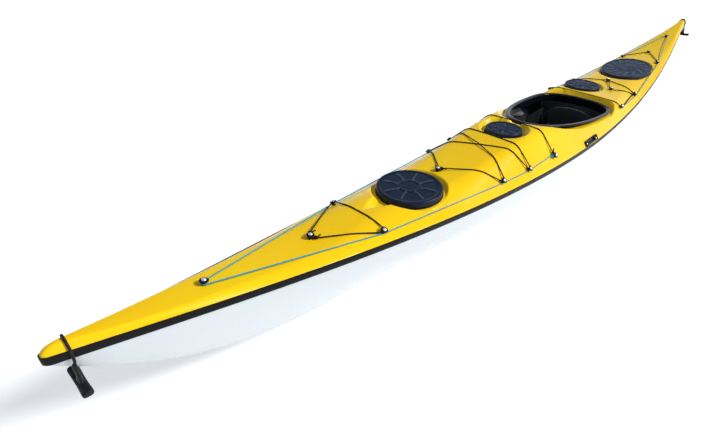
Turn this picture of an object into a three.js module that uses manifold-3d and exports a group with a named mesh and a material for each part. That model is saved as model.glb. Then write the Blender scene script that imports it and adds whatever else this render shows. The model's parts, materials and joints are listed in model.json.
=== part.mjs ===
// Sea kayak: composite hull and deck, three bulkheads, four hatches, retractable skeg.
// Millimetres. +X points to the bow, +Y to port, +Z up. The keel rests on z = 0 amidships.
import * as THREE from "three";
import { mergeVertices } from "three/addons/utils/BufferGeometryUtils.js";
import Module from "manifold-3d";

const wasm = await Module();
wasm.setup();

// Driving sizes
const LENGTH = 5200; // over the seam tape
const BEAM = 557; // moulded width at the seam
const SHEER_LOW = 198; // seam above the keel at its lowest point
const BOW_SEAM_RISE = 250;
const STERN_SEAM_RISE = 245;
const DECK_PEAK = 385; // deck above the keel, just ahead of the cockpit
const WALL = 4; // laminate of hull and deck
const GAP = 0.3; // between pieces that touch
const alongBoat = (share) => (share * LENGTH) / 2; // places go by shares of the half length
const acrossBoat = (share) => share * BEAM;
const CUT = 60; // overrun of every cutting shape
const MERGE_DISTANCE = 1e-3; // vertices closer than this are one
const ARC_STEPS = 6;

// Seam tape
const TAPE_HEIGHT = 26;
const TAPE_THICK = 1.6;

// Hull form
const HALF = LENGTH / 2 - TAPE_THICK - GAP;
const WIDEST_SHARE = -0.03;
const BEAM_POWER = 1.8445;
const NOSE_HALF_WIDTH = 12;
const NOSE_ROUND = 16; // radius of the ends seen from above
const NOSE_POWER = 10;
const END_FLAT = 1.2; // the ends stop this far short of a point
const CAVITY_HALF_WIDTH = acrossBoat(0.0431); // the ends are solid where the hull is narrower
const BOW_SHEER_POWER = 1.74;
const STERN_SHEER_POWER = 2.23;
const STEM_FOOT_DROP = 14; // lowest point of the stem below the seam
const ROCKER_START_SHARE = 0.18;
const FOREFOOT_SHARE = 0.46;
const BOW_ROCKER = 100;
const STERN_ROCKER = 45;
const BOW_STEM_POWER = 3.8;
const STERN_STEM_POWER = 3.2;
const KEEL_FLAT_HALF = 36;
const STEM_HALF = 3;
const STATIONS_EACH_WAY = 14;
const STATION_CROWDING = 1.9;
const HULL_POINTS = 8;
// [place along the half length, fullness of the hull section]
const FULLNESS_SHARES = [
  [-1, 2.3], [-0.77, 2.5], [-0.54, 2.7], [-0.31, 2.9], [-0.08, 3.1],
  [0.15, 2.75], [0.385, 1.95], [0.615, 1.25], [0.81, 1.05], [1, 1.3],
];

// Deck form
const FLANGE = 14; // upright land under the tape, less where the deck is low
const FLANGE_SHARE = 0.35;
const SHOULDER_BLEND = 30;
const CROWN_SHARE = 0.09;
const NOSE_DECK_ROUND = 50;
// [place along the half length, crest over the seam as a share of the peak over the low seam]
const CREST_SHARES = [
  [-1, 0.198], [-0.825, 0.176], [-0.667, 0.176], [-0.485, 0.307], [-0.35, 0.371],
  [-0.215, 0.465], [-0.038, 0.732], [0.169, 0.915], [0.25, 0.818], [0.335, 0.646],
  [0.419, 0.481], [0.495, 0.415], [0.596, 0.327], [0.696, 0.186], [0.842, 0.15],
  [0.923, 0.16], [0.977, 0.188], [1, 0.2],
];
// [place along the half length, steepness of the deck side]
const SIDE_SLOPE_SHARES = [
  [-1, 3], [-0.846, 1.2], [-0.604, 0.55], [-0.34, 0.6], [-0.19, 1.18],
  [0, 1.5], [0.25, 1.18], [0.335, 0.95], [0.608, 0.58], [0.842, 1.1], [1, 3.4],
];
const DECK_WIDTH_SHARES = [0, 0.26, 0.42, 0.55, 0.67, 0.78, 0.89, 1];

// Cockpit coaming: an egg-shaped ring, measured over its spray-deck rim
const RIM_FRONT = alongBoat(0.1462);
const RIM_BACK = alongBoat(-0.1869);
const RIM_WIDEST = alongBoat(-0.0965);
const RIM_HALF_WIDTH = acrossBoat(0.4219);
const RIM_FRONT_DROP = 18.7; // rim below the plain deck's crest
const RIM_BACK_DROP = 23.1;
const RIM_SAG = 8;
const RIM_FRONT_POWER = 2.15;
const RIM_BACK_POWER = 2.49;
const RIM_LIP = 23; // overhang of the rim
const RIM_THICK = 5;
const COAMING_WALL = 4;
const COAMING_DEPTH = 46;
const COAMING_STEPS = 44;
const APRON_DROP = 25; // deck below the rim, round the coaming
const APRON_MARGIN = 6;
const APRON_SLOPE_RUN = 45;
const BRACE_REACH = 55;
const BRACE_TURN = [0.77, 1.23]; // where the thigh braces start and end round the rim, radians
const BRACE_STEPS = 8;
const BRACE_THICK = 5;
const BRACE_DROP = 34;

// Hatches: each has a seat moulded into the deck, a glued rim and a press-on rubber cover
const RECESS_RUN = 26;
const RECESS_RISE = 44;
const SEAT_MARGIN = 13;
const PEDESTAL_FLARE = 10;
const PEDESTAL_DEPTH = 60;
const COVER_THICK = 3;
const COVER_EDGE_ROUND = 4;
const HATCH_STEPS = 20;
const RIM_FLANGE = 3; // glued foot of a hatch rim, outside its neck
const RIM_FLANGE_THICK = 3;
const NECK_THICK = 3.5;
const NECK_DEPTH = 12; // neck below the seat
const COVER_LIFT_GAP = 1; // cover skirt above the rim's foot
const HATCH_SHARES = { bow: 0.4946, pod: 0.21, day: -0.2631, stern: -0.4854 };
const HATCH_SIZES = [ // lift: top of the cover over the plain deck
  { name: "bow", y: 0, lift: 2, across: acrossBoat(0.2442), tilt: 0, skirt: 28 },
  { name: "pod", y: 0, lift: -4, across: acrossBoat(0.1616), tilt: 0, skirt: 24 },
  { name: "day", y: acrossBoat(-0.158), lift: 11, across: acrossBoat(0.1993), tilt: 0, skirt: 24 },
  {
    name: "stern", y: 0, lift: 9.2, across: acrossBoat(0.28), along: alongBoat(0.095),
    tilt: 0.043, skirt: 28,
  },
];

// Glove pod under the pod hatch
const POD_DEPTH = 120;
const POD_WALL = 3;
const POD_FLANGE = 8;
const POD_FLOOR_SHARE = 0.8;

// Bulkheads
const BULKHEAD_THICK = 6;
const FRONT_BULKHEAD_X = alongBoat(0.4038);
const REAR_BULKHEAD_X = alongBoat(-0.1981);
const STERN_BULKHEAD_X = alongBoat(-0.3462);

// Seat and backband
const SEAT_FRONT = alongBoat(0.0154);
const SEAT_BACK = alongBoat(-0.1346);
const SEAT_HALF_WIDTH = acrossBoat(0.3142);
const SEAT_THICK = 5;
const SEAT_FLOOR = 26;
const SEAT_SIDE_RISE = 62;
const SEAT_THIGH_RISE = 26;
const SEAT_FOOT_HALF = 26;
const SEAT_COLUMNS = 6;
const SEAT_ROWS = 10;
const CHEEK_HEIGHT = 205;
const CHEEK_BACK = alongBoat(-0.1269);
const CHEEK_FRONT = alongBoat(-0.0423);
const EAR_LENGTH = 70;
const EAR_LOW = 40;
const EAR_HIGH = 172;
const EAR_THICK = 6;
const BAND_HALF_WIDTH = SEAT_HALF_WIDTH - 27;
const BAND_HALF_HEIGHT = 72;
const BAND_HALF_THICK = 17;
const BAND_CURVE = 38; // the ends stand this far ahead of the middle
const BAND_X = SEAT_BACK - 42;
const BAND_Z = 150;
const BAND_POWER = 2.6; // roundness of its section
const BAND_END_POWER = 8;
const BAND_END_SHARE = 0.12;
const BAND_LOW_SHARE = 0.22; // how much lower and thinner the pad is at its ends
const BAND_THIN_SHARE = 0.35;
const BAND_STEPS = 14;
const BAND_POINTS = 14;

// Foot braces
const RAIL_BACK = alongBoat(0.1615);
const RAIL_FRONT = alongBoat(0.3192);
const RAIL_Z = 118;
const RAIL_HEIGHT = 24;
const RAIL_THICK = 10;
const PEDAL_X = alongBoat(0.2692);
const PEDAL_WIDTH = 78;
const PEDAL_HEIGHT = 118;
const PEDAL_THICK = 9;
const PEDAL_SHOE = 46;
const PEDAL_BEND = 14;
const PEDAL_BELOW = 13;

// Skeg: blade, box, cable tube and deck slider
const SKEG_X = alongBoat(-0.5538); // pivot
const SKEG_BLADE_LENGTH = 285;
const SKEG_BLADE_THICK = 7;
const SKEG_SIDE_PLAY = 2;
const SKEG_PIN_RADIUS = 4;
const SKEG_PIN_Z = 40; // above the keel line
const SKEG_BOX_WALL = 3;
const SKEG_HEAD = 35; // blade round its pivot
const SKEG_TIP_LOW = 14; // blade tip below and above the pivot, folded
const SKEG_TIP_HIGH = 60;
const SKEG_END_PLAY = 10;
const TUBE_RADIUS = 3;
const TUBE_FROM_SIDE = 12;
const TUBE_BELOW_SEAM = 12;
const TUBE_STEPS = 24;
const BULKHEAD_HOLE_PLAY = 1.8; // the tube crosses at a slant
const SLIDER_BACK = alongBoat(-0.0173);
const SLIDER_FRONT = SLIDER_BACK + 148;
const SLIDER_HEIGHT = 32;
const SLIDER_DEPTH = 7;
const SLIDER_SLOT = 12;
const SLIDER_SLOT_DEPTH = 4;
const SLIDER_END = 11;
const SLIDER_ABOVE_TAPE = 3;
const KNOB_REST = SLIDER_BACK + 37;
const KNOB_LENGTH = 26;
const KNOB_WIDTH = 20;
const KNOB_HEIGHT = 11;
const KNOB_FOOT = 3;

// Deck fittings and cords
const NECK_RADIUS = 6;
const NECK_HEIGHT = 13;
const CAP_RADIUS = 14;
const CAP_EDGE = 1.8;
const CAP_HEIGHT = 5;
const CAP_DOME_SHARES = [0.6, 0.9]; // of the cap's radius and height
const FITTING_STEPS = 8;
const LINE_RADIUS = 2.25;
const BUNGEE_RADIUS = 2.5;
const CORD_SIDES = 8;
const CORD_LIFT = 1.1; // cord above the deck's flat facets
const TAIL = 26;
const WRAP_STEP = Math.PI / 4;
const LEG_SAMPLES = 90;
const LEG_TOLERANCE = 0.65;
const SMALL_SHARE = 1e-6;
const DECK_SAMPLES = 12;
const C3_FROM_HATCH = 57;
const CENTRE_SHARES = { C1: 0.8452, C2: 0.6969, C5: -0.3456, C6: -0.6673, CE: -0.8213 };
const SIDE_SHARES = { 2: 0.6104, 3: 0.3387, 4: 0.2587, 5: 0.1677, 6: -0.1954, 7: -0.3206, 8: -0.5933 };
// Distance in from the seam
const INSET_SHARES = { 2: 0.0675, 3: 0.0664, 4: 0.0594, 5: 0.0562, 6: 0.0754, 7: 0.079, 8: 0.0923 };
const PORT_EXTRA = [alongBoat(-0.2808), acrossBoat(0.1508)];

// Carrying toggles
const TOGGLE_CORD_RADIUS = 3.5;
const TOGGLE_X = LENGTH / 2 - 59; // distance from amidships, bow and stern
const TOGGLE_SIDE = 9; // cord clear of the hull side
const TOGGLE_LEAN = 7; // the handle hangs this far nearer to the end
const TOGGLE_LENGTH = 108;
const TOGGLE_WIDTH = 27;
const TOGGLE_THICK = 19;
const TOGGLE_STEM = 46;
const TOGGLE_STEM_RADIUS = 5.5;
const TOGGLE_BALL_RADIUS = 7;
const TOGGLE_DROP = 30; // end of the cord below the seam
const TOGGLE_BORE_DROP = 27; // hole through the end, below the seam
const TOGGLE_BEND_STEP = Math.PI / 8;
const TOGGLE_BOW_CURVE = 7;
const TOGGLE_POINTS = 12;
// [place along half the bar, size of its section]
const TOGGLE_TAPER_SHARES = [
  [-1, 0.75], [-0.95, 0.95], [-0.6, 1], [0, 0.93], [0.6, 1], [0.95, 0.95], [1, 0.75],
];

// Finishes, from the photograph
const finish = (color, roughness, metalness = 0) =>
  new THREE.MeshStandardMaterial({ color, roughness, metalness });
const DECK_GELCOAT = finish("#fecf20", 0.2);
const HULL_GELCOAT = finish("#e6edf1", 0.2);
const TAPE_GELCOAT = finish("#242a2c", 0.3);
const BLACK_GELCOAT = finish("#17191c", 0.15);
const RUBBER = finish("#232a33", 0.6);
const BLACK_PLASTIC = finish("#1c1e20", 0.45);
const GREY_PLASTIC = finish("#8b9094", 0.5);
const FOAM_FABRIC = finish("#26282b", 0.9);
const LAMINATE = finish("#d8d5c8", 0.6);
const ALLOY = finish("#b9bcc0", 0.35, 1);
const LINE_BLUE = finish("#2f8fa8", 0.8);
const BUNGEE_BLACK = finish("#241f1c", 0.85);

// Small mathematics
const clamp = (v, low, high) => Math.min(high, Math.max(low, v));
const lerp = (a, b, t) => a + (b - a) * t;
const turns = (steps) => Array.from({ length: steps }, (_, i) => ((i + 0.5) / steps) * 2 * Math.PI);

function curveThrough(table, x) {
  const last = table.length - 1;
  const v = clamp(x, table[0][0], table[last][0]);
  let i = 0;
  while (i < last - 1 && v > table[i + 1][0]) i += 1;
  const slope = (k) => {
    const a = table[Math.max(0, k - 1)];
    const b = table[Math.min(last, k + 1)];
    return (b[1] - a[1]) / (b[0] - a[0]);
  };
  const [x0, y0] = table[i];
  const [x1, y1] = table[i + 1];
  const h = x1 - x0;
  const t = (v - x0) / h;
  const t2 = t * t;
  const t3 = t2 * t;
  return (2 * t3 - 3 * t2 + 1) * y0 + (t3 - 2 * t2 + t) * h * slope(i) +
    (3 * t2 - 2 * t3) * y1 + (t3 - t2) * h * slope(i + 1);
}

function smoothLesser(a, b, blend) {
  const h = clamp(0.5 + (0.5 * (b - a)) / blend, 0, 1);
  return lerp(b, a, h) - blend * h * (1 - h);
}

// Moulded surfaces
function endShare(x) {
  const middle = WIDEST_SHARE * HALF;
  return x > middle ? (x - middle) / (HALF - middle) : (middle - x) / (HALF + middle);
}

function halfBeam(x) {
  const s = clamp(endShare(x), 0, 1);
  const fromEnd = Math.max(HALF - Math.abs(x), 0);
  const nose = NOSE_HALF_WIDTH * s ** NOSE_POWER;
  const width = (BEAM / 2) * (1 - s ** BEAM_POWER) + nose;
  if (fromEnd >= NOSE_ROUND) return width;
  return width * Math.sqrt(1 - ((NOSE_ROUND - fromEnd) / NOSE_ROUND) ** 2);
}

function seamHeight(x) {
  const s = clamp(endShare(x), 0, 1);
  const forward = x > WIDEST_SHARE * HALF;
  const rise = forward ? BOW_SEAM_RISE : STERN_SEAM_RISE;
  return SHEER_LOW + rise * s ** (forward ? BOW_SHEER_POWER : STERN_SHEER_POWER);
}

function keelHeight(x) {
  const share = Math.abs(x) / HALF;
  const forward = x > 0;
  const rocker = forward ? BOW_ROCKER : STERN_ROCKER;
  const foot = seamHeight(forward ? HALF : -HALF) - STEM_FOOT_DROP;
  const along = clamp((share - ROCKER_START_SHARE) / (1 - ROCKER_START_SHARE), 0, 1);
  const stem = clamp((share - FOREFOOT_SHARE) / (1 - FOREFOOT_SHARE), 0, 1);
  const power = forward ? BOW_STEM_POWER : STERN_STEM_POWER;
  return rocker * along ** 2 + (foot - rocker) * stem ** power;
}

function crestHeight(x) {
  const fromEnd = Math.max(HALF - Math.abs(x), 0);
  const crest = seamHeight(x) + (DECK_PEAK - SHEER_LOW) * curveThrough(CREST_SHARES, x / HALF);
  if (fromEnd >= NOSE_DECK_ROUND) return crest;
  const round = Math.sqrt(1 - ((NOSE_DECK_ROUND - fromEnd) / NOSE_DECK_ROUND) ** 2);
  return lerp(seamHeight(x), crest, round);
}

function landHeight(x) {
  return Math.min(FLANGE, FLANGE_SHARE * (crestHeight(x) - seamHeight(x)));
}

function deckHeight(x, y) {
  const seam = seamHeight(x);
  const rise = crestHeight(x) - seam;
  const half = halfBeam(x);
  const steepness = curveThrough(SIDE_SLOPE_SHARES, x / HALF);
  const side = seam + landHeight(x) + (half - Math.abs(y)) * steepness;
  const top = seam + rise * (1 - CROWN_SHARE * (y / half) ** 2);
  return smoothLesser(side, top, Math.min(SHOULDER_BLEND, rise / 2) + GAP);
}

const HATCHES = HATCH_SIZES.map(({ name, y, lift, across, along = across, tilt, skirt }) => {
  const x = alongBoat(HATCH_SHARES[name]);
  return { name, x, y, z: deckHeight(x, y) + lift, along, across, tilt, skirt };
});

// Half sections run from the seam to the centre line as [y, z]
function hullHalf(x) {
  const seam = seamHeight(x);
  const keel = keelHeight(x);
  const half = halfBeam(x);
  const flat = Math.min(lerp(KEEL_FLAT_HALF, STEM_HALF, clamp(Math.abs(x) / HALF, 0, 1)), half / 2);
  const power = 2 / curveThrough(FULLNESS_SHARES, x / HALF);
  const land = Math.min(TAPE_HEIGHT / (seam - keel), 1) / 2; // straight behind the tape
  const start = Math.asin(land ** (1 / power));
  const curve = Array.from({ length: HULL_POINTS }, (_, i) => {
    const a = lerp(start, Math.PI / 2, i / (HULL_POINTS - 1));
    const out = i === HULL_POINTS - 1 ? 0 : Math.cos(a) ** power;
    return [flat + (half - flat) * out, seam - (seam - keel) * Math.sin(a) ** power];
  });
  return [[half, seam], ...curve];
}

function deckHalf(x) {
  const half = halfBeam(x);
  const edge = [half, seamHeight(x)];
  const rise = [...DECK_WIDTH_SHARES].reverse().map((s) => [half * s, deckHeight(x, half * s)]);
  return [edge, ...rise];
}

function offsetInward(points, distance) {
  return points.map(([y, z], i) => {
    const before = points[Math.max(0, i - 1)];
    const after = points[Math.min(points.length - 1, i + 1)];
    const atSeam = i === 0 || i === points.length - 1;
    const run = Math.hypot(after[0] - before[0], after[1] - before[1]) || 1;
    const [inY, inZ] = atSeam ? [-Math.sign(y), 0] : [before[1] - after[1], after[0] - before[0]];
    const share = distance / (atSeam ? 1 : run);
    return [y + inY * share, z + inZ * share];
  });
}

const mirrored = (half) => half.map(([y, z]) => [-y, z]).reverse();

function hullLine(x) {
  const half = hullHalf(x);
  return [...half, ...mirrored(half)];
}

function deckLine(x) {
  const half = deckHalf(x);
  return [...half, ...mirrored(half).slice(1)];
}

const stationShares = Array.from({ length: 2 * STATIONS_EACH_WAY + 1 }, (_, i) => {
  const t = (i - STATIONS_EACH_WAY) / STATIONS_EACH_WAY;
  return Math.sign(t) * (1 - (1 - Math.abs(t)) ** STATION_CROWDING);
});
const stations = stationShares.map((s) => s * (HALF - END_FLAT));

const sectionAt = (x, line) => line.map(([y, z]) => [x, y, z]);
const deckSections = stations.map((x) => sectionAt(x, deckLine(x)));

// Height of the flat-faceted deck, as the solid has it
function facetHeight(x, y) {
  let i = 0;
  while (i < stations.length - 2 && x > stations[i + 1]) i += 1;
  const [near, far] = deckSections.slice(i, i + 2);
  const faces = near.slice(1).flatMap((b, k) => (near[k][1] > 0
    ? [[near[k], b, far[k + 1]], [near[k], far[k + 1], far[k]]]
    : [[near[k], b, far[k]], [b, far[k + 1], far[k]]]));
  const heights = faces.map(([a, b, c]) => {
    const area = (b[0] - a[0]) * (c[1] - a[1]) - (c[0] - a[0]) * (b[1] - a[1]);
    const u = ((x - a[0]) * (c[1] - a[1]) - (c[0] - a[0]) * (y - a[1])) / area;
    const v = ((b[0] - a[0]) * (y - a[1]) - (x - a[0]) * (b[1] - a[1])) / area;
    return Math.min(u, v, 1 - u - v) > -SMALL_SHARE ? lerp(a[2], b[2], u) + v * (c[2] - a[2]) : 0;
  });
  return Math.max(...heights);
}

// The plane that fits the deck round a point, and how far the deck rises over it there
function deckPlane(x, y, radius) {
  const ring = turns(DECK_SAMPLES).map((t) => [radius * Math.cos(t), radius * Math.sin(t)]);
  const heights = ring.map(([u, v]) => facetHeight(x + u, y + v));
  const slope = (axis) =>
    ring.reduce((sum, p, i) => sum + p[axis] * heights[i], 0) * 2 / (DECK_SAMPLES * radius ** 2);
  const [dx, dy] = [slope(0), slope(1)];
  const middle = facetHeight(x, y);
  const rise = Math.max(0, ...ring.map(([u, v], i) => heights[i] - middle - dx * u - dy * v));
  return { normal: new THREE.Vector3(-dx, -dy, 1).normalize(), middle, rise };
}

// Solids
function solidOf(geometry) {
  const plain = geometry.clone();
  plain.deleteAttribute("normal");
  plain.deleteAttribute("uv");
  const merged = mergeVertices(plain, MERGE_DISTANCE);
  return new wasm.Manifold(new wasm.Mesh({
    numProp: 3,
    vertProperties: new Float32Array(merged.attributes.position.array),
    triVerts: new Uint32Array(merged.index.array),
  }));
}

function geometryOf(solid) {
  const mesh = solid.getMesh();
  const geometry = new THREE.BufferGeometry();
  const position = new Float32Array(mesh.numVert * 3);
  for (let i = 0; i < mesh.numVert; i += 1) {
    const from = i * mesh.numProp;
    position.set(mesh.vertProperties.subarray(from, from + 3), i * 3);
  }
  geometry.setAttribute("position", new THREE.BufferAttribute(position, 3));
  geometry.setIndex(new THREE.BufferAttribute(new Uint32Array(mesh.triVerts), 1));
  geometry.computeVertexNormals();
  return geometry;
}

// A closed skin over rings of equal count; a ring is an array of [x, y, z]. Port and
// starboard are split into triangles alike.
function loft(rings) {
  const count = rings[0].length;
  const position = rings.flat(2);
  const index = [];
  for (let r = 0; r < rings.length - 1; r += 1) {
    for (let i = 0; i < count; i += 1) {
      const a = r * count + i;
      const b = r * count + ((i + 1) % count);
      const outward = Math.abs(position[3 * a + 1]) >= Math.abs(position[3 * b + 1]);
      if (outward) index.push(a, b, b + count, a, b + count, a + count);
      else index.push(a, b, a + count, b, b + count, a + count);
    }
  }
  capFaces(rings[0]).forEach(([a, b, c]) => index.push(a, c, b));
  const top = (rings.length - 1) * count;
  capFaces(rings.at(-1)).forEach(([a, b, c]) => index.push(top + a, top + b, top + c));
  const geometry = new THREE.BufferGeometry();
  geometry.setAttribute("position", new THREE.Float32BufferAttribute(position, 3));
  geometry.setIndex(index);
  const solid = solidOf(geometry);
  return solid.volume() < 0 ? solidOf(flipped(geometry)) : solid;
}

function flipped(geometry) {
  const order = Array.from(geometry.index.array);
  for (let i = 0; i < order.length; i += 3) [order[i + 1], order[i + 2]] = [order[i + 2], order[i + 1]];
  return geometry.clone().setIndex(order);
}

// Triangles of a flat ring, in the ring's own turning direction
function capFaces(ring) {
  const normal = new THREE.Vector3();
  ring.forEach((p, i) => {
    const q = ring[(i + 1) % ring.length];
    normal.x += (p[1] - q[1]) * (p[2] + q[2]);
    normal.y += (p[2] - q[2]) * (p[0] + q[0]);
    normal.z += (p[0] - q[0]) * (p[1] + q[1]);
  });
  normal.normalize();
  const side = Math.abs(normal.x) > Math.SQRT1_2 ? new THREE.Vector3(0, 1, 0) : new THREE.Vector3(1, 0, 0);
  const u = side.addScaledVector(normal, -side.dot(normal)).normalize();
  const v = new THREE.Vector3().crossVectors(normal, u);
  const flat = ring.map((p) => {
    const point = new THREE.Vector3(...p);
    return new THREE.Vector2(point.dot(u), point.dot(v));
  });
  return THREE.ShapeUtils.triangulateShape(flat, []);
}

// A closed tube of loops: the last loop joins the first
function hollowRing(loops) {
  const count = loops[0].length;
  const position = loops.flat(2);
  const index = [];
  loops.forEach((_, r) => {
    const next = (r + 1) % loops.length;
    for (let i = 0; i < count; i += 1) {
      const j = (i + 1) % count;
      const a = r * count + i;
      const b = r * count + j;
      const c = next * count + j;
      const d = next * count + i;
      if (position[3 * a + 1] + position[3 * b + 1] >= 0) index.push(a, b, c, a, c, d);
      else index.push(a, b, d, b, c, d);
    }
  });
  const geometry = new THREE.BufferGeometry();
  geometry.setAttribute("position", new THREE.Float32BufferAttribute(position, 3));
  geometry.setIndex(index);
  const solid = solidOf(geometry);
  return solid.volume() < 0 ? solidOf(flipped(geometry)) : solid;
}

const united = (solids) => solids.reduce((all, solid) => all.add(solid));

function boxSolid(low, high) {
  const size = high.map((v, i) => v - low[i]);
  const box = new THREE.BoxGeometry(...size);
  return solidOf(box.translate(...high.map((v, i) => (v + low[i]) / 2)));
}

function cylinderSolid(radius, from, to, steps = FITTING_STEPS) {
  const a = new THREE.Vector3(...from);
  const b = new THREE.Vector3(...to);
  const along = b.clone().sub(a);
  const geometry = new THREE.CylinderGeometry(radius, radius, along.length(), steps);
  const turn = new THREE.Quaternion().setFromUnitVectors(new THREE.Vector3(0, 1, 0), along.normalize());
  geometry.applyQuaternion(turn);
  geometry.translate(...a.add(b).multiplyScalar(0.5).toArray());
  return solidOf(geometry);
}

// A lathe about +Z from [radius, height] points
function latheSolid(profile, steps) {
  const points = profile.map(([r, z]) => new THREE.Vector2(r, z));
  const solid = solidOf(new THREE.LatheGeometry(points, steps).rotateX(Math.PI / 2));
  if (solid.volume() > 0) return solid;
  return solidOf(new THREE.LatheGeometry([...points].reverse(), steps).rotateX(Math.PI / 2));
}

// Hull and deck
const hullBody = loft(stations.map((x) => sectionAt(x, hullLine(x))));
const deckBody = loft(stations.map((x) => sectionAt(x, deckLine(x).map(([y, z], i, all) =>
  [y, i === 0 || i === all.length - 1 ? z + GAP : z]))));

// The whole section, this far in from the moulded surface
function sectionLoop(x, inset) {
  const deck = offsetInward(deckLine(x), inset);
  const hull = offsetInward(hullLine(x).reverse(), inset);
  return [...deck, ...hull.slice(1, -1)];
}

// The closed outside of hull and deck, grown by a clearance
const outerSkin = (grow) =>
  loft(stations.map((x) => sectionAt(x * (1 + grow / HALF), sectionLoop(x, -grow))));

// The space inside the shells
function interior(inset) {
  const inside = stations.filter((x) => halfBeam(x) > CAVITY_HALF_WIDTH);
  return loft(inside.map((x) => sectionAt(x, sectionLoop(x, inset))));
}

// Cockpit rim, turned from the bow through port
function rimPlan(turn) {
  const c = Math.cos(turn);
  const s = Math.sin(turn);
  const reach = c > 0 ? RIM_FRONT - RIM_WIDEST : RIM_WIDEST - RIM_BACK;
  const power = 2 / (c > 0 ? RIM_FRONT_POWER : RIM_BACK_POWER);
  return [
    RIM_WIDEST + Math.sign(c) * reach * Math.abs(c) ** power,
    Math.sign(s) * RIM_HALF_WIDTH * Math.abs(s) ** power,
  ];
}

const rimFront = crestHeight(RIM_FRONT) - RIM_FRONT_DROP;
const rimBack = crestHeight(RIM_BACK) - RIM_BACK_DROP;

function rimHeight(x) {
  const s = (x - RIM_BACK) / (RIM_FRONT - RIM_BACK);
  return lerp(rimBack, rimFront, s) - RIM_SAG * 4 * s * (1 - s);
}

function rimPoint(turn, inward, down) {
  const [x, y] = rimPlan(turn);
  const [x0, y0] = rimPlan(turn - SMALL_SHARE);
  const [x1, y1] = rimPlan(turn + SMALL_SHARE);
  const run = Math.hypot(x1 - x0, y1 - y0);
  return [x - ((y1 - y0) / run) * inward, y + ((x1 - x0) / run) * inward, rimHeight(x) - down];
}

const rimRing = (inward, down) => turns(COAMING_STEPS).map((t) => rimPoint(t, inward, down));

const WALL_INSIDE = RIM_LIP + COAMING_WALL;
const RIM_EDGE = RIM_THICK / 3;

function makeCoaming() {
  const ring = hollowRing([
    rimRing(0, RIM_THICK), rimRing(0, RIM_EDGE), rimRing(RIM_EDGE, 0), rimRing(RIM_LIP, 0),
    rimRing(WALL_INSIDE, COAMING_WALL), rimRing(WALL_INSIDE, COAMING_DEPTH),
    rimRing(RIM_LIP, COAMING_DEPTH), rimRing(RIM_LIP, RIM_THICK),
  ]);
  const brace = (side) => {
    const along = Array.from({ length: BRACE_STEPS + 1 }, (_, i) => i / BRACE_STEPS);
    const plate = (drop) => {
      const outer = along.map((s) => [s, COAMING_WALL / 2]);
      const inner = along.slice(1, -1).map((s) => [s, COAMING_WALL + BRACE_REACH * Math.sin(Math.PI * s)]);
      return [...outer, ...inner.reverse()].map(([s, reach]) =>
        rimPoint(side * lerp(...BRACE_TURN, s), RIM_LIP + reach, drop));
    };
    return loft([plate(BRACE_DROP + BRACE_THICK), plate(BRACE_DROP)]);
  };
  return ring.add(brace(1)).add(brace(-1));
}

// The deck dips to a narrow apron round the coaming
function apronCut(grow) {
  const edge = APRON_MARGIN + grow;
  const drop = APRON_DROP + grow;
  const far = edge + APRON_SLOPE_RUN;
  const rise = drop - 2 * APRON_DROP;
  return loft([
    rimRing(WALL_INSIDE, drop), rimRing(-edge, drop), rimRing(-far, rise), rimRing(-far, rise - CUT),
  ]);
}

const cockpitHole = loft([
  rimRing(RIM_LIP - GAP, COAMING_DEPTH + CUT), rimRing(RIM_LIP - GAP, -CUT),
]);

// An ellipse round a hatch, this far outside its cover and below the cover's top
function hatchRing(hatch, outside, down) {
  const c = Math.cos(hatch.tilt);
  const s = Math.sin(hatch.tilt);
  return turns(HATCH_STEPS).map((t) => {
    const along = (hatch.along + outside) * Math.cos(t);
    return [
      hatch.x + along * c - down * s,
      hatch.y + (hatch.across + outside) * Math.sin(t),
      hatch.z - along * s - down * c,
    ];
  });
}

function recessCut(hatch, grow) {
  const edge = SEAT_MARGIN + grow;
  const seat = hatch.skirt + grow;
  const top = seat - RECESS_RISE;
  return loft([
    hatchRing(hatch, edge, seat), hatchRing(hatch, edge + RECESS_RUN, top),
    hatchRing(hatch, edge + RECESS_RUN, top - CUT),
  ]);
}

// Where the deck is lower than a hatch's seat, a pedestal carries it
const pedestal = (hatch, shrink) => loft([
  hatchRing(hatch, SEAT_MARGIN + PEDESTAL_FLARE - shrink, hatch.skirt + PEDESTAL_DEPTH + shrink),
  hatchRing(hatch, SEAT_MARGIN - shrink, hatch.skirt + shrink),
]);

const NECK_OUT = -(COVER_THICK + GAP); // outside of a rim's neck, from the cover's edge
const NECK_IN = NECK_OUT - NECK_THICK;

const hatchHole = (hatch) => loft([
  hatchRing(hatch, NECK_OUT + GAP, hatch.skirt + CUT), hatchRing(hatch, NECK_OUT + GAP, -CUT),
]);

function makeHatchRim(hatch) {
  const foot = hatch.skirt - GAP;
  const footTop = foot - RIM_FLANGE_THICK;
  const low = hatch.skirt + NECK_DEPTH;
  const top = COVER_THICK + GAP;
  return hollowRing([
    [RIM_FLANGE, foot], [RIM_FLANGE, footTop], [NECK_OUT, footTop], [NECK_OUT, top],
    [NECK_IN, top], [NECK_IN, low], [NECK_OUT, low], [NECK_OUT, foot],
  ].map(([outside, down]) => hatchRing(hatch, outside, down)));
}

function makeHatchCover(hatch) {
  const low = hatch.skirt - GAP - RIM_FLANGE_THICK - COVER_LIFT_GAP;
  return loft([
    [-COVER_THICK, COVER_THICK], [-COVER_THICK, low], [0, low],
    [0, COVER_EDGE_ROUND], [-COVER_EDGE_ROUND, 0],
  ].map(([outside, down]) => hatchRing(hatch, outside, down)));
}

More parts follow.
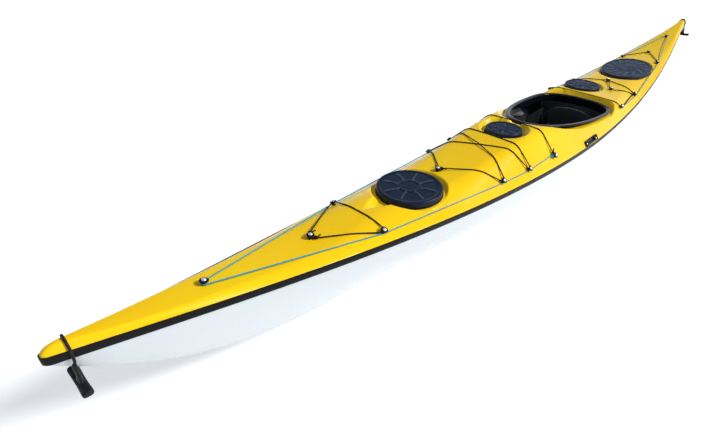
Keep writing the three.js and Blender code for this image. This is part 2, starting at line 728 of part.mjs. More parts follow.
function makePod(hatch) {
  const top = hatch.skirt + WALL + GAP;
  const inside = NECK_OUT + GAP;
  const outside = inside + POD_WALL;
  const taper = (POD_FLOOR_SHARE - 1) * hatch.along;
  return loft([
    [inside + taper, top + POD_DEPTH - POD_WALL], [inside, top + NECK_DEPTH], [inside, top],
    [outside + POD_FLANGE, top], [outside + POD_FLANGE, top + POD_WALL],
    [outside, top + POD_WALL], [outside, top + NECK_DEPTH], [outside + taper, top + POD_DEPTH],
  ].map(([out, down]) => hatchRing(hatch, out, down)));
}

// Skeg box and slot, in the stern
const skegPivot = [SKEG_X, 0, keelHeight(SKEG_X) + SKEG_PIN_Z];
const skegSlotHalf = SKEG_BLADE_THICK / 2 + SKEG_SIDE_PLAY;
const skegSpace = {
  low: [SKEG_X - SKEG_BLADE_LENGTH - SKEG_END_PLAY, -skegSlotHalf, -CUT],
  high: [SKEG_X + SKEG_HEAD + SKEG_END_PLAY, skegSlotHalf, skegPivot[2] + SKEG_TIP_HIGH + SKEG_END_PLAY],
};
const skegSlot = boxSolid(skegSpace.low, skegSpace.high);

function makeSkegBox(room) {
  const low = skegSpace.low.map((v) => v - SKEG_BOX_WALL);
  const high = skegSpace.high.map((v) => v + SKEG_BOX_WALL);
  const pinEnd = (y) => [SKEG_X, y, skegPivot[2]];
  const pin = cylinderSolid(SKEG_PIN_RADIUS, pinEnd(low[1]), pinEnd(high[1]));
  return boxSolid(low, high).intersect(room).subtract(skegSlot).add(pin);
}

// A plate drawn in the XZ plane, centred on y = 0
function sidePlate(shape, thick) {
  const options = { depth: thick, bevelEnabled: false, curveSegments: ARC_STEPS };
  const geometry = new THREE.ExtrudeGeometry(shape, options);
  return solidOf(geometry.rotateX(Math.PI / 2).translate(0, thick / 2, 0));
}

function makeSkegBlade() {
  const shape = new THREE.Shape();
  shape.absarc(0, 0, SKEG_HEAD, -Math.PI / 2, Math.PI / 2, false);
  shape.lineTo(-SKEG_BLADE_LENGTH, SKEG_TIP_HIGH);
  shape.lineTo(-SKEG_BLADE_LENGTH, -SKEG_TIP_LOW);
  shape.closePath();
  const eye = new THREE.Path().absarc(0, 0, SKEG_PIN_RADIUS + GAP, 0, 2 * Math.PI, true);
  shape.holes.push(eye);
  return sidePlate(shape, SKEG_BLADE_THICK).translate(skegPivot);
}

// Seat: a moulded pan on a foot, with hip cheeks and ears for the backband
function seatPan() {
  const grid = (drop) => Array.from({ length: SEAT_ROWS + 1 }, (_, r) => {
    const across = (2 * r) / SEAT_ROWS - 1;
    return Array.from({ length: SEAT_COLUMNS + 1 }, (_, c) => {
      const along = c / SEAT_COLUMNS;
      const rise = SEAT_SIDE_RISE * across ** 4 + SEAT_THIGH_RISE * along ** 2;
      return [lerp(SEAT_BACK, SEAT_FRONT, along), across * SEAT_HALF_WIDTH, SEAT_FLOOR + rise - drop];
    });
  });
  const lower = grid(SEAT_THICK);
  return loft(grid(0).map((row, r) => [...row, ...lower[r].reverse()]));
}

function makeSeat() {
  const upright = (side, near, thick, [x0, x1], [z0, z1]) => {
    const [y0, y1] = [side * near, side * (near + thick)].sort((a, b) => a - b);
    return boxSolid([x0, y0, z0], [x1, y1, z1]);
  };
  const underPan = SEAT_FLOOR - SEAT_THICK / 2;
  const foot = boxSolid([CHEEK_BACK, -SEAT_FOOT_HALF, WALL + GAP], [0, SEAT_FOOT_HALF, underPan]);
  const cheekLow = SEAT_FLOOR + SEAT_SIDE_RISE / 2;
  const cheekSpan = [CHEEK_BACK, CHEEK_FRONT];
  const earMiddle = BAND_X + BAND_CURVE;
  const earSpan = [earMiddle - EAR_LENGTH / 2, earMiddle + EAR_LENGTH / 2];
  return united([seatPan(), foot, ...[1, -1].flatMap((side) => [
    upright(side, SEAT_HALF_WIDTH - SEAT_THICK, SEAT_THICK, cheekSpan, [cheekLow, CHEEK_HEIGHT]),
    upright(side, BAND_HALF_WIDTH + GAP, EAR_THICK, earSpan, [EAR_LOW, EAR_HIGH]),
  ])]);
}

// A curved pad, thinner and lower toward its rounded ends
function makeBackband() {
  const rounded = (v) => Math.sign(v) * Math.abs(v) ** (2 / BAND_POWER);
  return loft(Array.from({ length: BAND_STEPS + 1 }, (_, i) => {
    const s = (2 * i) / BAND_STEPS - 1;
    const end = Math.sqrt(Math.max(1 - s ** BAND_END_POWER, BAND_END_SHARE));
    const high = BAND_HALF_HEIGHT * (1 - BAND_LOW_SHARE * s ** 2) * end;
    const thick = BAND_HALF_THICK * (1 - BAND_THIN_SHARE * s ** 2) * end;
    return Array.from({ length: BAND_POINTS }, (_, k) => {
      const a = (2 * Math.PI * k) / BAND_POINTS;
      const x = BAND_X + BAND_CURVE * s ** 2 + thick * rounded(Math.cos(a));
      return [x, s * BAND_HALF_WIDTH, BAND_Z + high * rounded(Math.sin(a))];
    });
  }));
}

// Foot braces: a rail against each side of the hull, with a sliding pedal
function hullWidth(x, z) {
  const line = hullHalf(x);
  const k = line.findIndex(([, height]) => height < z);
  const [y0, z0] = line[k - 1];
  const [y1, z1] = line[k];
  return lerp(y0, y1, (z - z0) / (z1 - z0));
}

const railFace = (x) => {
  const back = hullWidth(RAIL_BACK, RAIL_Z);
  const front = hullWidth(RAIL_FRONT, RAIL_Z);
  return lerp(back, front, (x - RAIL_BACK) / (RAIL_FRONT - RAIL_BACK)) - WALL - RAIL_THICK;
};

// A bar beside the rail face, between two places along the boat
function railBar(side, xs, near, far, zs) {
  return loft(xs.map((x) => {
    const face = railFace(x);
    const corners = [[near, zs[0]], [far, zs[0]], [far, zs[1]], [near, zs[1]]];
    return corners.map(([out, z]) => [x, side * (face + out), z]);
  }));
}

function makeRail(side, room) {
  const zs = [RAIL_Z - RAIL_HEIGHT / 2, RAIL_Z + RAIL_HEIGHT / 2];
  return railBar(side, [RAIL_BACK, RAIL_FRONT], 0, RAIL_THICK + CUT, zs).intersect(room);
}

function makePedal(side) {
  const shoe = [PEDAL_X - PEDAL_SHOE / 2, PEDAL_X + PEDAL_SHOE / 2];
  const low = RAIL_Z - PEDAL_BELOW;
  const body = railBar(side, shoe, -GAP - PEDAL_THICK, -GAP, [low, RAIL_Z + RAIL_HEIGHT]);
  const plate = [PEDAL_X, PEDAL_X + PEDAL_THICK];
  const face = railBar(side, plate, -GAP - PEDAL_WIDTH, -GAP - PEDAL_THICK / 2, [low, low + PEDAL_HEIGHT]);
  const heel = [PEDAL_X - PEDAL_BEND, PEDAL_X + PEDAL_THICK];
  return body.add(face)
    .add(railBar(side, heel, -GAP - PEDAL_WIDTH, -GAP - PEDAL_THICK / 2, [low, low + PEDAL_THICK]));
}

// Skeg slider, on the port side of the deck just above the seam tape
const sliderFrame = (() => {
  const x = (SLIDER_BACK + SLIDER_FRONT) / 2;
  const low = seamHeight(x) + TAPE_HEIGHT / 2 + SLIDER_ABOVE_TAPE;
  let y = halfBeam(x);
  while (deckHeight(x, y) < low) y -= GAP;
  const steep = curveThrough(SIDE_SLOPE_SHARES, x / HALF);
  const upSlope = new THREE.Vector3(0, -1, steep).normalize();
  const out = new THREE.Vector3(0, steep, 1).normalize();
  const middle = new THREE.Vector3(x, y, deckHeight(x, y)).addScaledVector(upSlope, SLIDER_HEIGHT / 2);
  const along = new THREE.Vector3(-1, 0, 0);
  return new THREE.Matrix4().makeBasis(along, upSlope, out).setPosition(middle);
})();

// A box in the slider's frame: along aft, up the slope, out from the deck
function sliderBox(low, high) {
  const size = high.map((v, i) => v - low[i]);
  const box = new THREE.BoxGeometry(...size).translate(...high.map((v, i) => (v + low[i]) / 2));
  return solidOf(box.applyMatrix4(sliderFrame));
}

function makeSliderHousing() {
  const half = (SLIDER_FRONT - SLIDER_BACK) / 2;
  const slot = half - SLIDER_END;
  const [high, slotHigh] = [SLIDER_HEIGHT / 2, SLIDER_SLOT / 2];
  const floor = SLIDER_DEPTH - SLIDER_SLOT_DEPTH;
  return sliderBox([-half, -high, -SLIDER_DEPTH], [half, high, SLIDER_DEPTH])
    .subtract(outerSkin(GAP))
    .subtract(sliderBox([-slot, -slotHigh, floor], [slot, slotHigh, SLIDER_DEPTH + CUT]));
}

function makeKnob() {
  const at = (SLIDER_BACK + SLIDER_FRONT) / 2 - KNOB_REST;
  const span = [at - KNOB_LENGTH / 2, at + KNOB_LENGTH / 2];
  const foot = SLIDER_SLOT / 2 - GAP;
  const floor = SLIDER_DEPTH - SLIDER_SLOT_DEPTH + GAP;
  const face = SLIDER_DEPTH + GAP;
  return sliderBox([span[0], -foot, floor], [span[1], foot, face + KNOB_FOOT])
    .add(sliderBox([span[0], -KNOB_WIDTH / 2, face], [span[1], KNOB_WIDTH / 2, face + KNOB_HEIGHT]));
}

// Tubes and cords
class RouteCurve extends THREE.CatmullRomCurve3 {
  getPointAt(u, target) {
    return this.getPoint(u, target);
  }

  getTangentAt(u, target) {
    return this.getTangent(u, target);
  }
}

// A round cord that has one ring at each point of its route
function cordSolid(points, radius) {
  const curve = new RouteCurve(points.map((p) => new THREE.Vector3(...p)));
  const section = new THREE.Shape(Array.from({ length: CORD_SIDES }, (_, i) => {
    const a = (2 * Math.PI * (i + 0.5)) / CORD_SIDES;
    return new THREE.Vector2(radius * Math.cos(a), radius * Math.sin(a));
  }));
  return solidOf(new THREE.ExtrudeGeometry(section, { steps: points.length - 1, extrudePath: curve }));
}

// Cable tube: along the port side, then down to the front of the skeg box
const tubeBeside = (x) =>
  [x, halfBeam(x) - WALL - TUBE_FROM_SIDE, seamHeight(x) - TUBE_BELOW_SEAM];
const tubeEnd = [skegSpace.high[0] + SKEG_BOX_WALL + GAP, 0, skegPivot[2] + SKEG_TIP_HIGH / 2];
const tubeRoute = Array.from({ length: TUBE_STEPS + 1 }, (_, i) => {
  const straight = tubeEnd[0] + 4 * TUBE_RADIUS;
  const x = lerp((SLIDER_BACK + SLIDER_FRONT) / 2, straight, i / TUBE_STEPS);
  const leaves = STERN_BULKHEAD_X - BULKHEAD_THICK;
  const t = clamp((leaves - x) / (leaves - straight), 0, 1);
  const swing = t * t * (3 - 2 * t);
  const [, side, height] = tubeBeside(x);
  return [x, lerp(side, tubeEnd[1], swing), lerp(height, tubeEnd[2], swing)];
});
tubeRoute.push([tubeEnd[0] + 2 * TUBE_RADIUS, tubeEnd[1], tubeEnd[2]], tubeEnd);

function makeBulkhead(x, space) {
  const plate = boxSolid([x, -BEAM, -CUT], [x + BULKHEAD_THICK, BEAM, DECK_PEAK + CUT]).intersect(space);
  if (x > 0) return plate;
  const [, y, z] = tubeBeside(x + BULKHEAD_THICK / 2);
  const far = x + BULKHEAD_THICK + CUT;
  return plate.subtract(cylinderSolid(TUBE_RADIUS + BULKHEAD_HOLE_PLAY, [x - CUT, y, z], [far, y, z]));
}

// Deck fittings: a neck that holds cord, under a domed cap
const fittingGeometry = geometryOf(latheSolid([
  [0, 0], [NECK_RADIUS, 0], [NECK_RADIUS, NECK_HEIGHT], [CAP_RADIUS, NECK_HEIGHT],
  [CAP_RADIUS, NECK_HEIGHT + CAP_EDGE],
  [CAP_RADIUS * CAP_DOME_SHARES[0], NECK_HEIGHT + CAP_HEIGHT * CAP_DOME_SHARES[1]],
  [0, NECK_HEIGHT + CAP_HEIGHT],
], FITTING_STEPS));

function fittingAt(x, y) {
  const { normal, middle, rise } = deckPlane(x, y, NECK_RADIUS);
  const foot = new THREE.Vector3(x, y, middle + rise).addScaledVector(normal, GAP);
  const across = new THREE.Vector3(0, 1, 0).addScaledVector(normal, -normal.y).normalize();
  const along = new THREE.Vector3().crossVectors(across, normal);
  return { foot, normal, across, along, rise: deckPlane(x, y, CAP_RADIUS).rise };
}

const fittings = {};
Object.entries(CENTRE_SHARES).forEach(([name, share]) => {
  fittings[name] = fittingAt(alongBoat(share), 0);
});
Object.entries(SIDE_SHARES).forEach(([name, share]) => {
  const x = alongBoat(share);
  const y = halfBeam(x) - acrossBoat(INSET_SHARES[name]);
  fittings["P" + name] = fittingAt(x, y);
  fittings["S" + name] = fittingAt(x, -y);
});
const bowHatch = HATCHES.find(({ name }) => name === "bow");
fittings.C3 = fittingAt(bowHatch.x - bowHatch.along - C3_FROM_HATCH, 0);
fittings.PX = fittingAt(...PORT_EXTRA);

// Height of a cord's middle round a fitting's neck, over a cord of another radius or none
const levelAt = (fitting, radius, under = 0) => radius + fitting.rise + (under && 2 * under + 3 * GAP);

// Cord round a fitting's neck at a level, outside a cord of another radius or none
function wrapped(fitting, from, to, radius, level, inside = 0) {
  const bearing = (p) => {
    const d = new THREE.Vector3(...p).sub(fitting.foot);
    return Math.atan2(d.dot(fitting.across), d.dot(fitting.along));
  };
  const a = bearing(from);
  const turn = Math.atan2(Math.sin(bearing(to) - a), Math.cos(bearing(to) - a));
  const side = turn > 0 ? -1 : 1;
  const sweep = Math.PI - Math.abs(turn);
  const steps = Math.max(1, Math.ceil(sweep / WRAP_STEP));
  const reach = (NECK_RADIUS + radius + 2 * GAP + 2 * inside) / Math.cos(WRAP_STEP / 2);
  return Array.from({ length: steps + 1 }, (_, i) => {
    const angle = a + side * (Math.PI / 2 + (sweep * i) / steps);
    return fitting.foot.clone()
      .addScaledVector(fitting.along, reach * Math.cos(angle))
      .addScaledVector(fitting.across, reach * Math.sin(angle))
      .addScaledVector(fitting.normal, level).toArray();
  });
}

const laid = []; // legs of cord already on the deck, as { a, b, radius }

function crossingHeight(x, y, radius) {
  let height = -Infinity;
  laid.forEach(({ a, b, radius: other }) => {
    const span = (b[0] - a[0]) ** 2 + (b[1] - a[1]) ** 2;
    const t = clamp(((x - a[0]) * (b[0] - a[0]) + (y - a[1]) * (b[1] - a[1])) / span, 0, 1);
    const away = Math.hypot(x - lerp(a[0], b[0], t), y - lerp(a[1], b[1], t));
    const apart = radius + other + CORD_LIFT;
    if (away < apart) height = Math.max(height, lerp(a[2], b[2], t) + apart);
  });
  return height;
}

// A taut leg over the deck: the least path above the deck and the cords it crosses
function tautLeg(from, to, radius, normals) {
  const samples = Array.from({ length: LEG_SAMPLES + 1 }, (_, i) => {
    const t = i / LEG_SAMPLES;
    const x = lerp(from[0], to[0], t);
    const y = lerp(from[1], to[1], t);
    if (i === 0 || i === LEG_SAMPLES) return [t, lerp(from[2], to[2], t)];
    const { normal, middle } = deckPlane(x, y, NECK_RADIUS);
    const deck = middle + (radius + CORD_LIFT) / normal.z;
    const leaving = [from, to].map((end, k) => {
      const [u, v] = [x - end[0], y - end[1]];
      return Math.hypot(u, v) < TAIL ? end[2] - (normals[k].x * u + normals[k].y * v) / normals[k].z : 0;
    });
    return [t, Math.max(deck, crossingHeight(x, y, radius), ...leaving)];
  });
  const hull = [];
  samples.forEach((p) => {
    while (hull.length > 1) {
      const [a, b] = hull.slice(-2);
      if ((b[1] - a[1]) * (p[0] - a[0]) > (p[1] - a[1]) * (b[0] - a[0])) break;
      hull.pop();
    }
    hull.push(p);
  });
  return thinned(hull).slice(1, -1).map(([t, z]) => [lerp(from[0], to[0], t), lerp(from[1], to[1], t), z]);
}

// Drops points that lie within the leg tolerance of the line between their neighbours
function thinned(line) {
  const keep = [line[0]];
  let start = 0;
  for (let end = 2; end < line.length; end += 1) {
    const [a, b] = [line[start], line[end]];
    const strays = line.slice(start + 1, end).some((p) =>
      p[1] - lerp(a[1], b[1], (p[0] - a[0]) / (b[0] - a[0])) > LEG_TOLERANCE);
    if (strays) {
      start = end - 1;
      keep.push(line[start]);
    }
  }
  keep.push(line.at(-1));
  return keep;
}

// A route visits fittings in order: [name, radius of a cord under it, radius of one inside it]
function cordRoute(stops, radius) {
  const feet = stops.map(([name]) => fittings[name].foot.toArray());
  const normals = stops.map(([name]) => fittings[name].normal);
  const visits = stops.map(([name, under, inside], i) => {
    const before = feet[i - 1] ?? feet[i + 1];
    const after = feet[i + 1] ?? feet[i - 1];
    return wrapped(fittings[name], before, after, radius, levelAt(fittings[name], radius, under), inside);
  });
  const tail = (end, name, toward) => {
    const { foot, normal } = fittings[name];
    const along = new THREE.Vector3(...toward).sub(foot);
    along.addScaledVector(normal, -along.dot(normal)).setLength(TAIL);
    return along.add(new THREE.Vector3(...end)).toArray();
  };
  const lay = (path) => path.slice(1).forEach((b, k) => laid.push({ a: path[k], b, radius }));
  visits[0].unshift(tail(visits[0][0], stops[0][0], feet[1]));
  visits.at(-1).push(tail(visits.at(-1).at(-1), stops.at(-1)[0], feet.at(-2)));
  const route = [...visits[0]];
  let last = [];
  for (let i = 1; i < visits.length; i += 1) {
    const [from, to] = [route.at(-1), visits[i][0]];
    const leg = [from, ...tautLeg(from, to, radius, normals.slice(i - 1, i + 1)), to];
    lay(last);
    last = leg;
    route.push(...leg.slice(1), ...visits[i].slice(1));
  }
  lay(last);
  return route;
}

const UNDER_LINE = LINE_RADIUS;
const UNDER_BUNGEE = BUNGEE_RADIUS;
const CORDS = [
  ["bow_deck_line", LINE_RADIUS, LINE_BLUE,
    [["P5"], ["P4"], ["P3"], ["P2"], ["C1"], ["S2"], ["S3"], ["S4"], ["S5"]]],
  ["stern_deck_line", LINE_RADIUS, LINE_BLUE,
    [["P6"], ["P7", 0, BUNGEE_RADIUS], ["P8"], ["CE"], ["S8"], ["S7"], ["S6"]]],
  ["bow_bungee", BUNGEE_RADIUS, BUNGEE_BLACK,
    [["C2"], ["P2", UNDER_LINE], ["S2", UNDER_LINE], ["C2", UNDER_BUNGEE]]],
  ["foredeck_bungee", BUNGEE_RADIUS, BUNGEE_BLACK,
    [["C3"], ["S3", UNDER_LINE], ["P4", UNDER_LINE], ["S4", UNDER_LINE], ["P3", UNDER_LINE],
      ["C3", UNDER_BUNGEE]]],
  ["foredeck_cross_bungee", BUNGEE_RADIUS, BUNGEE_BLACK, [["S5", UNDER_LINE], ["P5", UNDER_LINE]]],
  ["aft_bungee", BUNGEE_RADIUS, BUNGEE_BLACK,
    [["S7", UNDER_LINE], ["C5"], ["P7"], ["PX"], ["C5", UNDER_BUNGEE]]],
  ["day_hatch_bungee", BUNGEE_RADIUS, BUNGEE_BLACK,
    [["P7", UNDER_BUNGEE], ["P6", UNDER_LINE], ["S6", UNDER_LINE]]],
  ["stern_bungee", BUNGEE_RADIUS, BUNGEE_BLACK, [["P8", UNDER_LINE], ["C6"], ["S8", UNDER_LINE]]],
];

// Carrying toggles: a cord through the end and over it, with a handle on its port side
function toggleEnd(end) {
  const x = end * TOGGLE_X;
  const half = halfBeam(x);
  const seam = seamHeight(x);
  const stop = [x + end * TOGGLE_LEAN, half + TOGGLE_SIDE, seam - TOGGLE_DROP];
  return { x, half, seam, stop, bore: seam - TOGGLE_BORE_DROP };
}

function makeToggleCord(end) {
  const { x, half, seam, stop, bore } = toggleEnd(end);
  const reach = (TOGGLE_CORD_RADIUS + CORD_LIFT) / Math.cos(TOGGLE_BEND_STEP / 2);
  const tape = half + GAP + TAPE_THICK;
  const shape = [...deckLine(x), [tape, seam - TAPE_HEIGHT / 2], [-tape, seam - TAPE_HEIGHT / 2],
    [tape, seam + TAPE_HEIGHT / 2], [-tape, seam + TAPE_HEIGHT / 2]];
  const over = Array.from({ length: Math.round(Math.PI / TOGGLE_BEND_STEP) + 1 }, (_, i) => {
    const c = -Math.cos(i * TOGGLE_BEND_STEP);
    const s = Math.sin(i * TOGGLE_BEND_STEP);
    const [y, z] = shape.reduce((best, p) => (p[0] * c + p[1] * s > best[0] * c + best[1] * s ? p : best));
    return [x, y + reach * c, z + reach * s];
  });
  const side = tape + reach;
  const through = [half / 2, 0, -half, -(half + side) / 2].map((y) => [x, y, bore]);
  const turnUp = [x, -side, bore + TOGGLE_CORD_RADIUS * 2];
  return cordSolid([...through, turnUp, ...over, stop], TOGGLE_CORD_RADIUS);
}

const toggleBore = (end) => {
  const { x, bore } = toggleEnd(end);
  return cylinderSolid(TOGGLE_CORD_RADIUS + 2 * GAP, [x, -CUT, bore], [x, CUT, bore]);
};

const ellipseRing = (y, halfX, halfZ, middle) => turns(TOGGLE_POINTS).map((t) =>
  [halfX * Math.cos(t), y, middle + halfZ * Math.sin(t)]);

function makeToggleHandle(end) {
  const { stop } = toggleEnd(end);
  const bar = loft(TOGGLE_TAPER_SHARES.map(([along, size]) => ellipseRing(
    along * TOGGLE_LENGTH / 2, size * TOGGLE_WIDTH / 2, size * TOGGLE_THICK / 2,
    TOGGLE_BOW_CURVE * along ** 2 - TOGGLE_STEM,
  )));
  const ball = solidOf(new THREE.SphereGeometry(TOGGLE_BALL_RADIUS, TOGGLE_POINTS, TOGGLE_POINTS / 2));
  const stem = cylinderSolid(TOGGLE_STEM_RADIUS, [0, 0, -TOGGLE_STEM], [0, 0, 0]);
  const pivot = [stop[0], stop[1], stop[2] - TOGGLE_BALL_RADIUS - GAP];
  return bar.add(ball).add(stem).translate(pivot);
}

// A band over the joint of hull and deck, all round the boat
function makeSeamTape() {
  const outline = [...stations, ...[...stations].reverse()].map((x, i) =>
    [x, (i < stations.length ? 1 : -1) * halfBeam(x)]);
  const count = outline.length;
  const loop = (out, up) => outline.map(([x, y], i) => {
    const [x0, y0] = outline[(i + count - 1) % count];
    const [x1, y1] = outline[(i + 1) % count];
    const [nx, ny] = [y0 - y1, x1 - x0];
    const reach = out / Math.max(Math.abs(nx), Math.abs(ny));
    const width = up < 0 ? hullWidth(x, seamHeight(x) + up) : Math.abs(y);
    return [x + nx * reach, Math.sign(y) * width + ny * reach, seamHeight(x) + up];
  });
  const ups = [TAPE_HEIGHT / 2, 0, -TAPE_HEIGHT / 2];
  return hollowRing([
    ...[...ups].reverse().map((up) => loop(GAP + TAPE_THICK, up)),
    ...ups.map((up) => loop(GAP, up)),
  ]);
}

// The assembly
const group = new THREE.Group();
group.name = "sea_kayak";

function addPart(name, solid, material) {
  const mesh = new THREE.Mesh(geometryOf(solid), material);
  mesh.name = name;
  group.add(mesh);
}

const openings = united([...HATCHES.map(hatchHole), cockpitHole]);
const recessed = (grow) => united([...HATCHES.map((hatch) => recessCut(hatch, grow)), apronCut(grow)]);
const room = interior(WALL);
const space = interior(WALL + GAP).subtract(recessed(WALL + GAP));
const bores = toggleBore(1).add(toggleBore(-1));
const pedestals = (shrink) => united(HATCHES.map((hatch) => pedestal(hatch, shrink)));

addPart("hull", hullBody.subtract(room).subtract(skegSlot).subtract(bores), HULL_GELCOAT);
const deckMoulding = deckBody.add(pedestals(0)).subtract(recessed(0));
const deckInside = room.add(pedestals(WALL)).subtract(recessed(WALL));
addPart("deck", deckMoulding.subtract(deckInside).subtract(openings), DECK_GELCOAT);
addPart("seam_tape", makeSeamTape(), TAPE_GELCOAT);
addPart("cockpit_coaming", makeCoaming(), BLACK_GELCOAT);
addPart("seat", makeSeat(), BLACK_PLASTIC);
addPart("backband", makeBackband(), FOAM_FABRIC);
addPart("front_bulkhead", makeBulkhead(FRONT_BULKHEAD_X, space), LAMINATE);
addPart("rear_bulkhead", makeBulkhead(REAR_BULKHEAD_X, space), LAMINATE);
addPart("stern_bulkhead", makeBulkhead(STERN_BULKHEAD_X, space), LAMINATE);
HATCHES.forEach((hatch) => {
  addPart(`${hatch.name}_hatch_rim`, makeHatchRim(hatch), BLACK_PLASTIC);
  addPart(`${hatch.name}_hatch_cover`, makeHatchCover(hatch), RUBBER);
});
addPart("glove_pod", makePod(HATCHES.find(({ name }) => name === "pod")), BLACK_PLASTIC);
addPart("skeg_box", makeSkegBox(space), LAMINATE);
addPart("skeg_blade", makeSkegBlade(), ALLOY);
addPart("skeg_slider_housing", makeSliderHousing(), BLACK_PLASTIC);
addPart("skeg_slider_knob", makeKnob(), GREY_PLASTIC);
addPart("skeg_cable_tube", cordSolid(tubeRoute, TUBE_RADIUS), GREY_PLASTIC);
[["port", 1], ["starboard", -1]].forEach(([name, side]) => {
  addPart(`${name}_foot_rail`, makeRail(side, space), ALLOY);
  addPart(`${name}_foot_pedal`, makePedal(side), BLACK_PLASTIC);
});
CORDS.forEach(([name, radius, material, stops]) => {
  addPart(name, cordSolid(cordRoute(stops, radius), radius), material);
});
[["bow", 1], ["stern", -1]].forEach(([name, end]) => {
  addPart(`${name}_toggle_cord`, makeToggleCord(end), BUNGEE_BLACK);
  addPart(`${name}_toggle_handle`, makeToggleHandle(end), RUBBER);
});
Object.entries(fittings).forEach(([name, { foot, normal }]) => {
  const mesh = new THREE.Mesh(fittingGeometry, BLACK_PLASTIC);
  mesh.name = `deck_fitting_${name.toLowerCase()}`;
  mesh.position.copy(foot);
  mesh.quaternion.setFromUnitVectors(new THREE.Vector3(0, 0, 1), normal);
  group.add(mesh);
});

export default group;
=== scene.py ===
import json
from math import asin, atan2, cos, hypot, pi, radians, sin, sqrt, tau

import bmesh
import bpy
from mathutils import Matrix, Vector
from mathutils.kdtree import KDTree


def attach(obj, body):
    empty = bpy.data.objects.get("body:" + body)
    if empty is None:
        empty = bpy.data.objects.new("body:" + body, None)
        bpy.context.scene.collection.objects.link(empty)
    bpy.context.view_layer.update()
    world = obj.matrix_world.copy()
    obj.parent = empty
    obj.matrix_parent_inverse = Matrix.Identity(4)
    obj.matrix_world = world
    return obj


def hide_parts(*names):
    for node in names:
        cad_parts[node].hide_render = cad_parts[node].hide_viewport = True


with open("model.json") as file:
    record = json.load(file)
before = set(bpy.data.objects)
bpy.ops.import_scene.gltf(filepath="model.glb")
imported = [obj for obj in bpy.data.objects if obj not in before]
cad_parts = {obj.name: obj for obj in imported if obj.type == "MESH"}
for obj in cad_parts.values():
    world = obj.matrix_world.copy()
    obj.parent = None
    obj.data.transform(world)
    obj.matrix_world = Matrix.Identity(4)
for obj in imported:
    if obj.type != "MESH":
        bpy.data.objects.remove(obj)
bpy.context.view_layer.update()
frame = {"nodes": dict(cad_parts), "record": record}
MM = 0.001
BODY_OF = {node: body for body, nodes in frame["record"]["behaviour"]["bodies"].items() for node in nodes}


# Camera, where the photograph was taken
def set_camera():
    eye, look, roll = Vector((2.5839, 0.9730, 1.2928)), Vector((-0.59668, -0.57459, -0.56019)), 0.007
    level = look.cross(Vector((0, 0, 1))).normalized()
    upright = level.cross(look)
    right = level * cos(roll) + upright * sin(roll)
    above = upright * cos(roll) - level * sin(roll)
    lens = bpy.data.cameras.new("camera")
    lens.lens, lens.sensor_width, lens.clip_start, lens.clip_end = 22.99, 36, 0.02, 60
    camera = bpy.data.objects.new("camera", lens)
    bpy.context.scene.collection.objects.link(camera)
    camera.matrix_world = Matrix((right, above, -look)).transposed().to_4x4()
    camera.matrix_world.translation = eye
    bpy.context.scene.camera = camera


set_camera()

# Sizes in millimetres, as the solids have them
LENGTH, BEAM, SHEER_LOW, BOW_SEAM_RISE, STERN_SEAM_RISE, DECK_PEAK = 5200, 557, 198, 250, 245, 385
WALL, GAP, TAPE_HEIGHT, TAPE_THICK = 4, 0.3, 26, 1.6
TAPE_OUT, TAPE_HALF = TAPE_THICK + GAP, TAPE_HEIGHT / 2
HALF = LENGTH / 2 - TAPE_THICK - GAP
WIDEST = -0.03 * HALF
NOSE_ROUND, NOSE_DECK_ROUND, END_FLAT = 16, 50, 1.2
CROWN_SHARE, DECK_LAND = 0.09, 14
# Full where the boat carries its load, hollow toward the bow
FULLNESS = [(-1, 2.3), (-0.77, 2.5), (-0.54, 2.7), (-0.31, 2.9), (-0.08, 3.1),
            (0.15, 2.75), (0.385, 1.95), (0.615, 1.25), (0.81, 1.05), (1, 1.3)]
CREST = [(-1, 0.198), (-0.825, 0.176), (-0.667, 0.176), (-0.485, 0.307), (-0.35, 0.371),
         (-0.215, 0.465), (-0.038, 0.732), (0.169, 0.915), (0.25, 0.818), (0.335, 0.646),
         (0.419, 0.481), (0.495, 0.415), (0.596, 0.327), (0.696, 0.186), (0.842, 0.15),
         (0.923, 0.16), (0.977, 0.188), (1, 0.2)]
SIDE_SLOPE = [(-1, 3), (-0.846, 1.2), (-0.604, 0.55), (-0.34, 0.6), (-0.19, 1.18),
              (0, 1.5), (0.25, 1.18), (0.335, 0.95), (0.608, 0.58), (0.842, 1.1), (1, 3.4)]
SEAT_MARGIN, RECESS_STEEP, PEDESTAL_STEEP = 13, 1.4, 6
COVER_THICK, NECK_OUT, NECK_THICK, FOOT_OUT, FOOT_THICK = 3, -3.3, 3.5, 3, 3
HATCHES = {
    "bow": {"x": 1286, "y": 0, "z": 355, "along": 136, "across": 136, "tilt": 0, "skirt": 28},
    "pod": {"x": 546, "y": 0, "z": 379, "along": 90, "across": 90, "tilt": 0, "skirt": 24},
    "day": {"x": -684, "y": -88, "z": 297, "along": 111, "across": 111, "tilt": 0, "skirt": 24},
    "stern": {"x": -1262, "y": 0, "z": 310, "along": 247, "across": 156, "tilt": 0.043, "skirt": 28},
}
RIM_FRONT, RIM_BACK, RIM_WIDEST, RIM_HALF_WIDTH = 380, -486, -251, 235
RIM_FRONT_Z, RIM_BACK_Z, RIM_SAG, RIM_LIP, RIM_THICK, COAMING_DEPTH = 361, 273, 8, 23, 5, 46
APRON_DROP, APRON_MARGIN, APRON_STEEP = 25, 6, 50 / 45
DIP_REACH = 110  # no dip in the deck spreads further along the boat than this
INSIDE_HALF_BEAM = 24  # the inner skins end where the boat is narrower


def clamp(v, low, high):
    return min(high, max(low, v))


def mix(a, b, t):
    return a + (b - a) * t


def signed_power(v, power):
    """A power that keeps the sign. On a sine and a cosine it draws a squarish ellipse."""
    return (1 if v > 0 else -1) * abs(v) ** power


def soft(v, low, high):
    """0 below low, 1 above high, and a smooth step between."""
    t = clamp((v - low) / (high - low), 0, 1)
    return t * t * (3 - 2 * t)


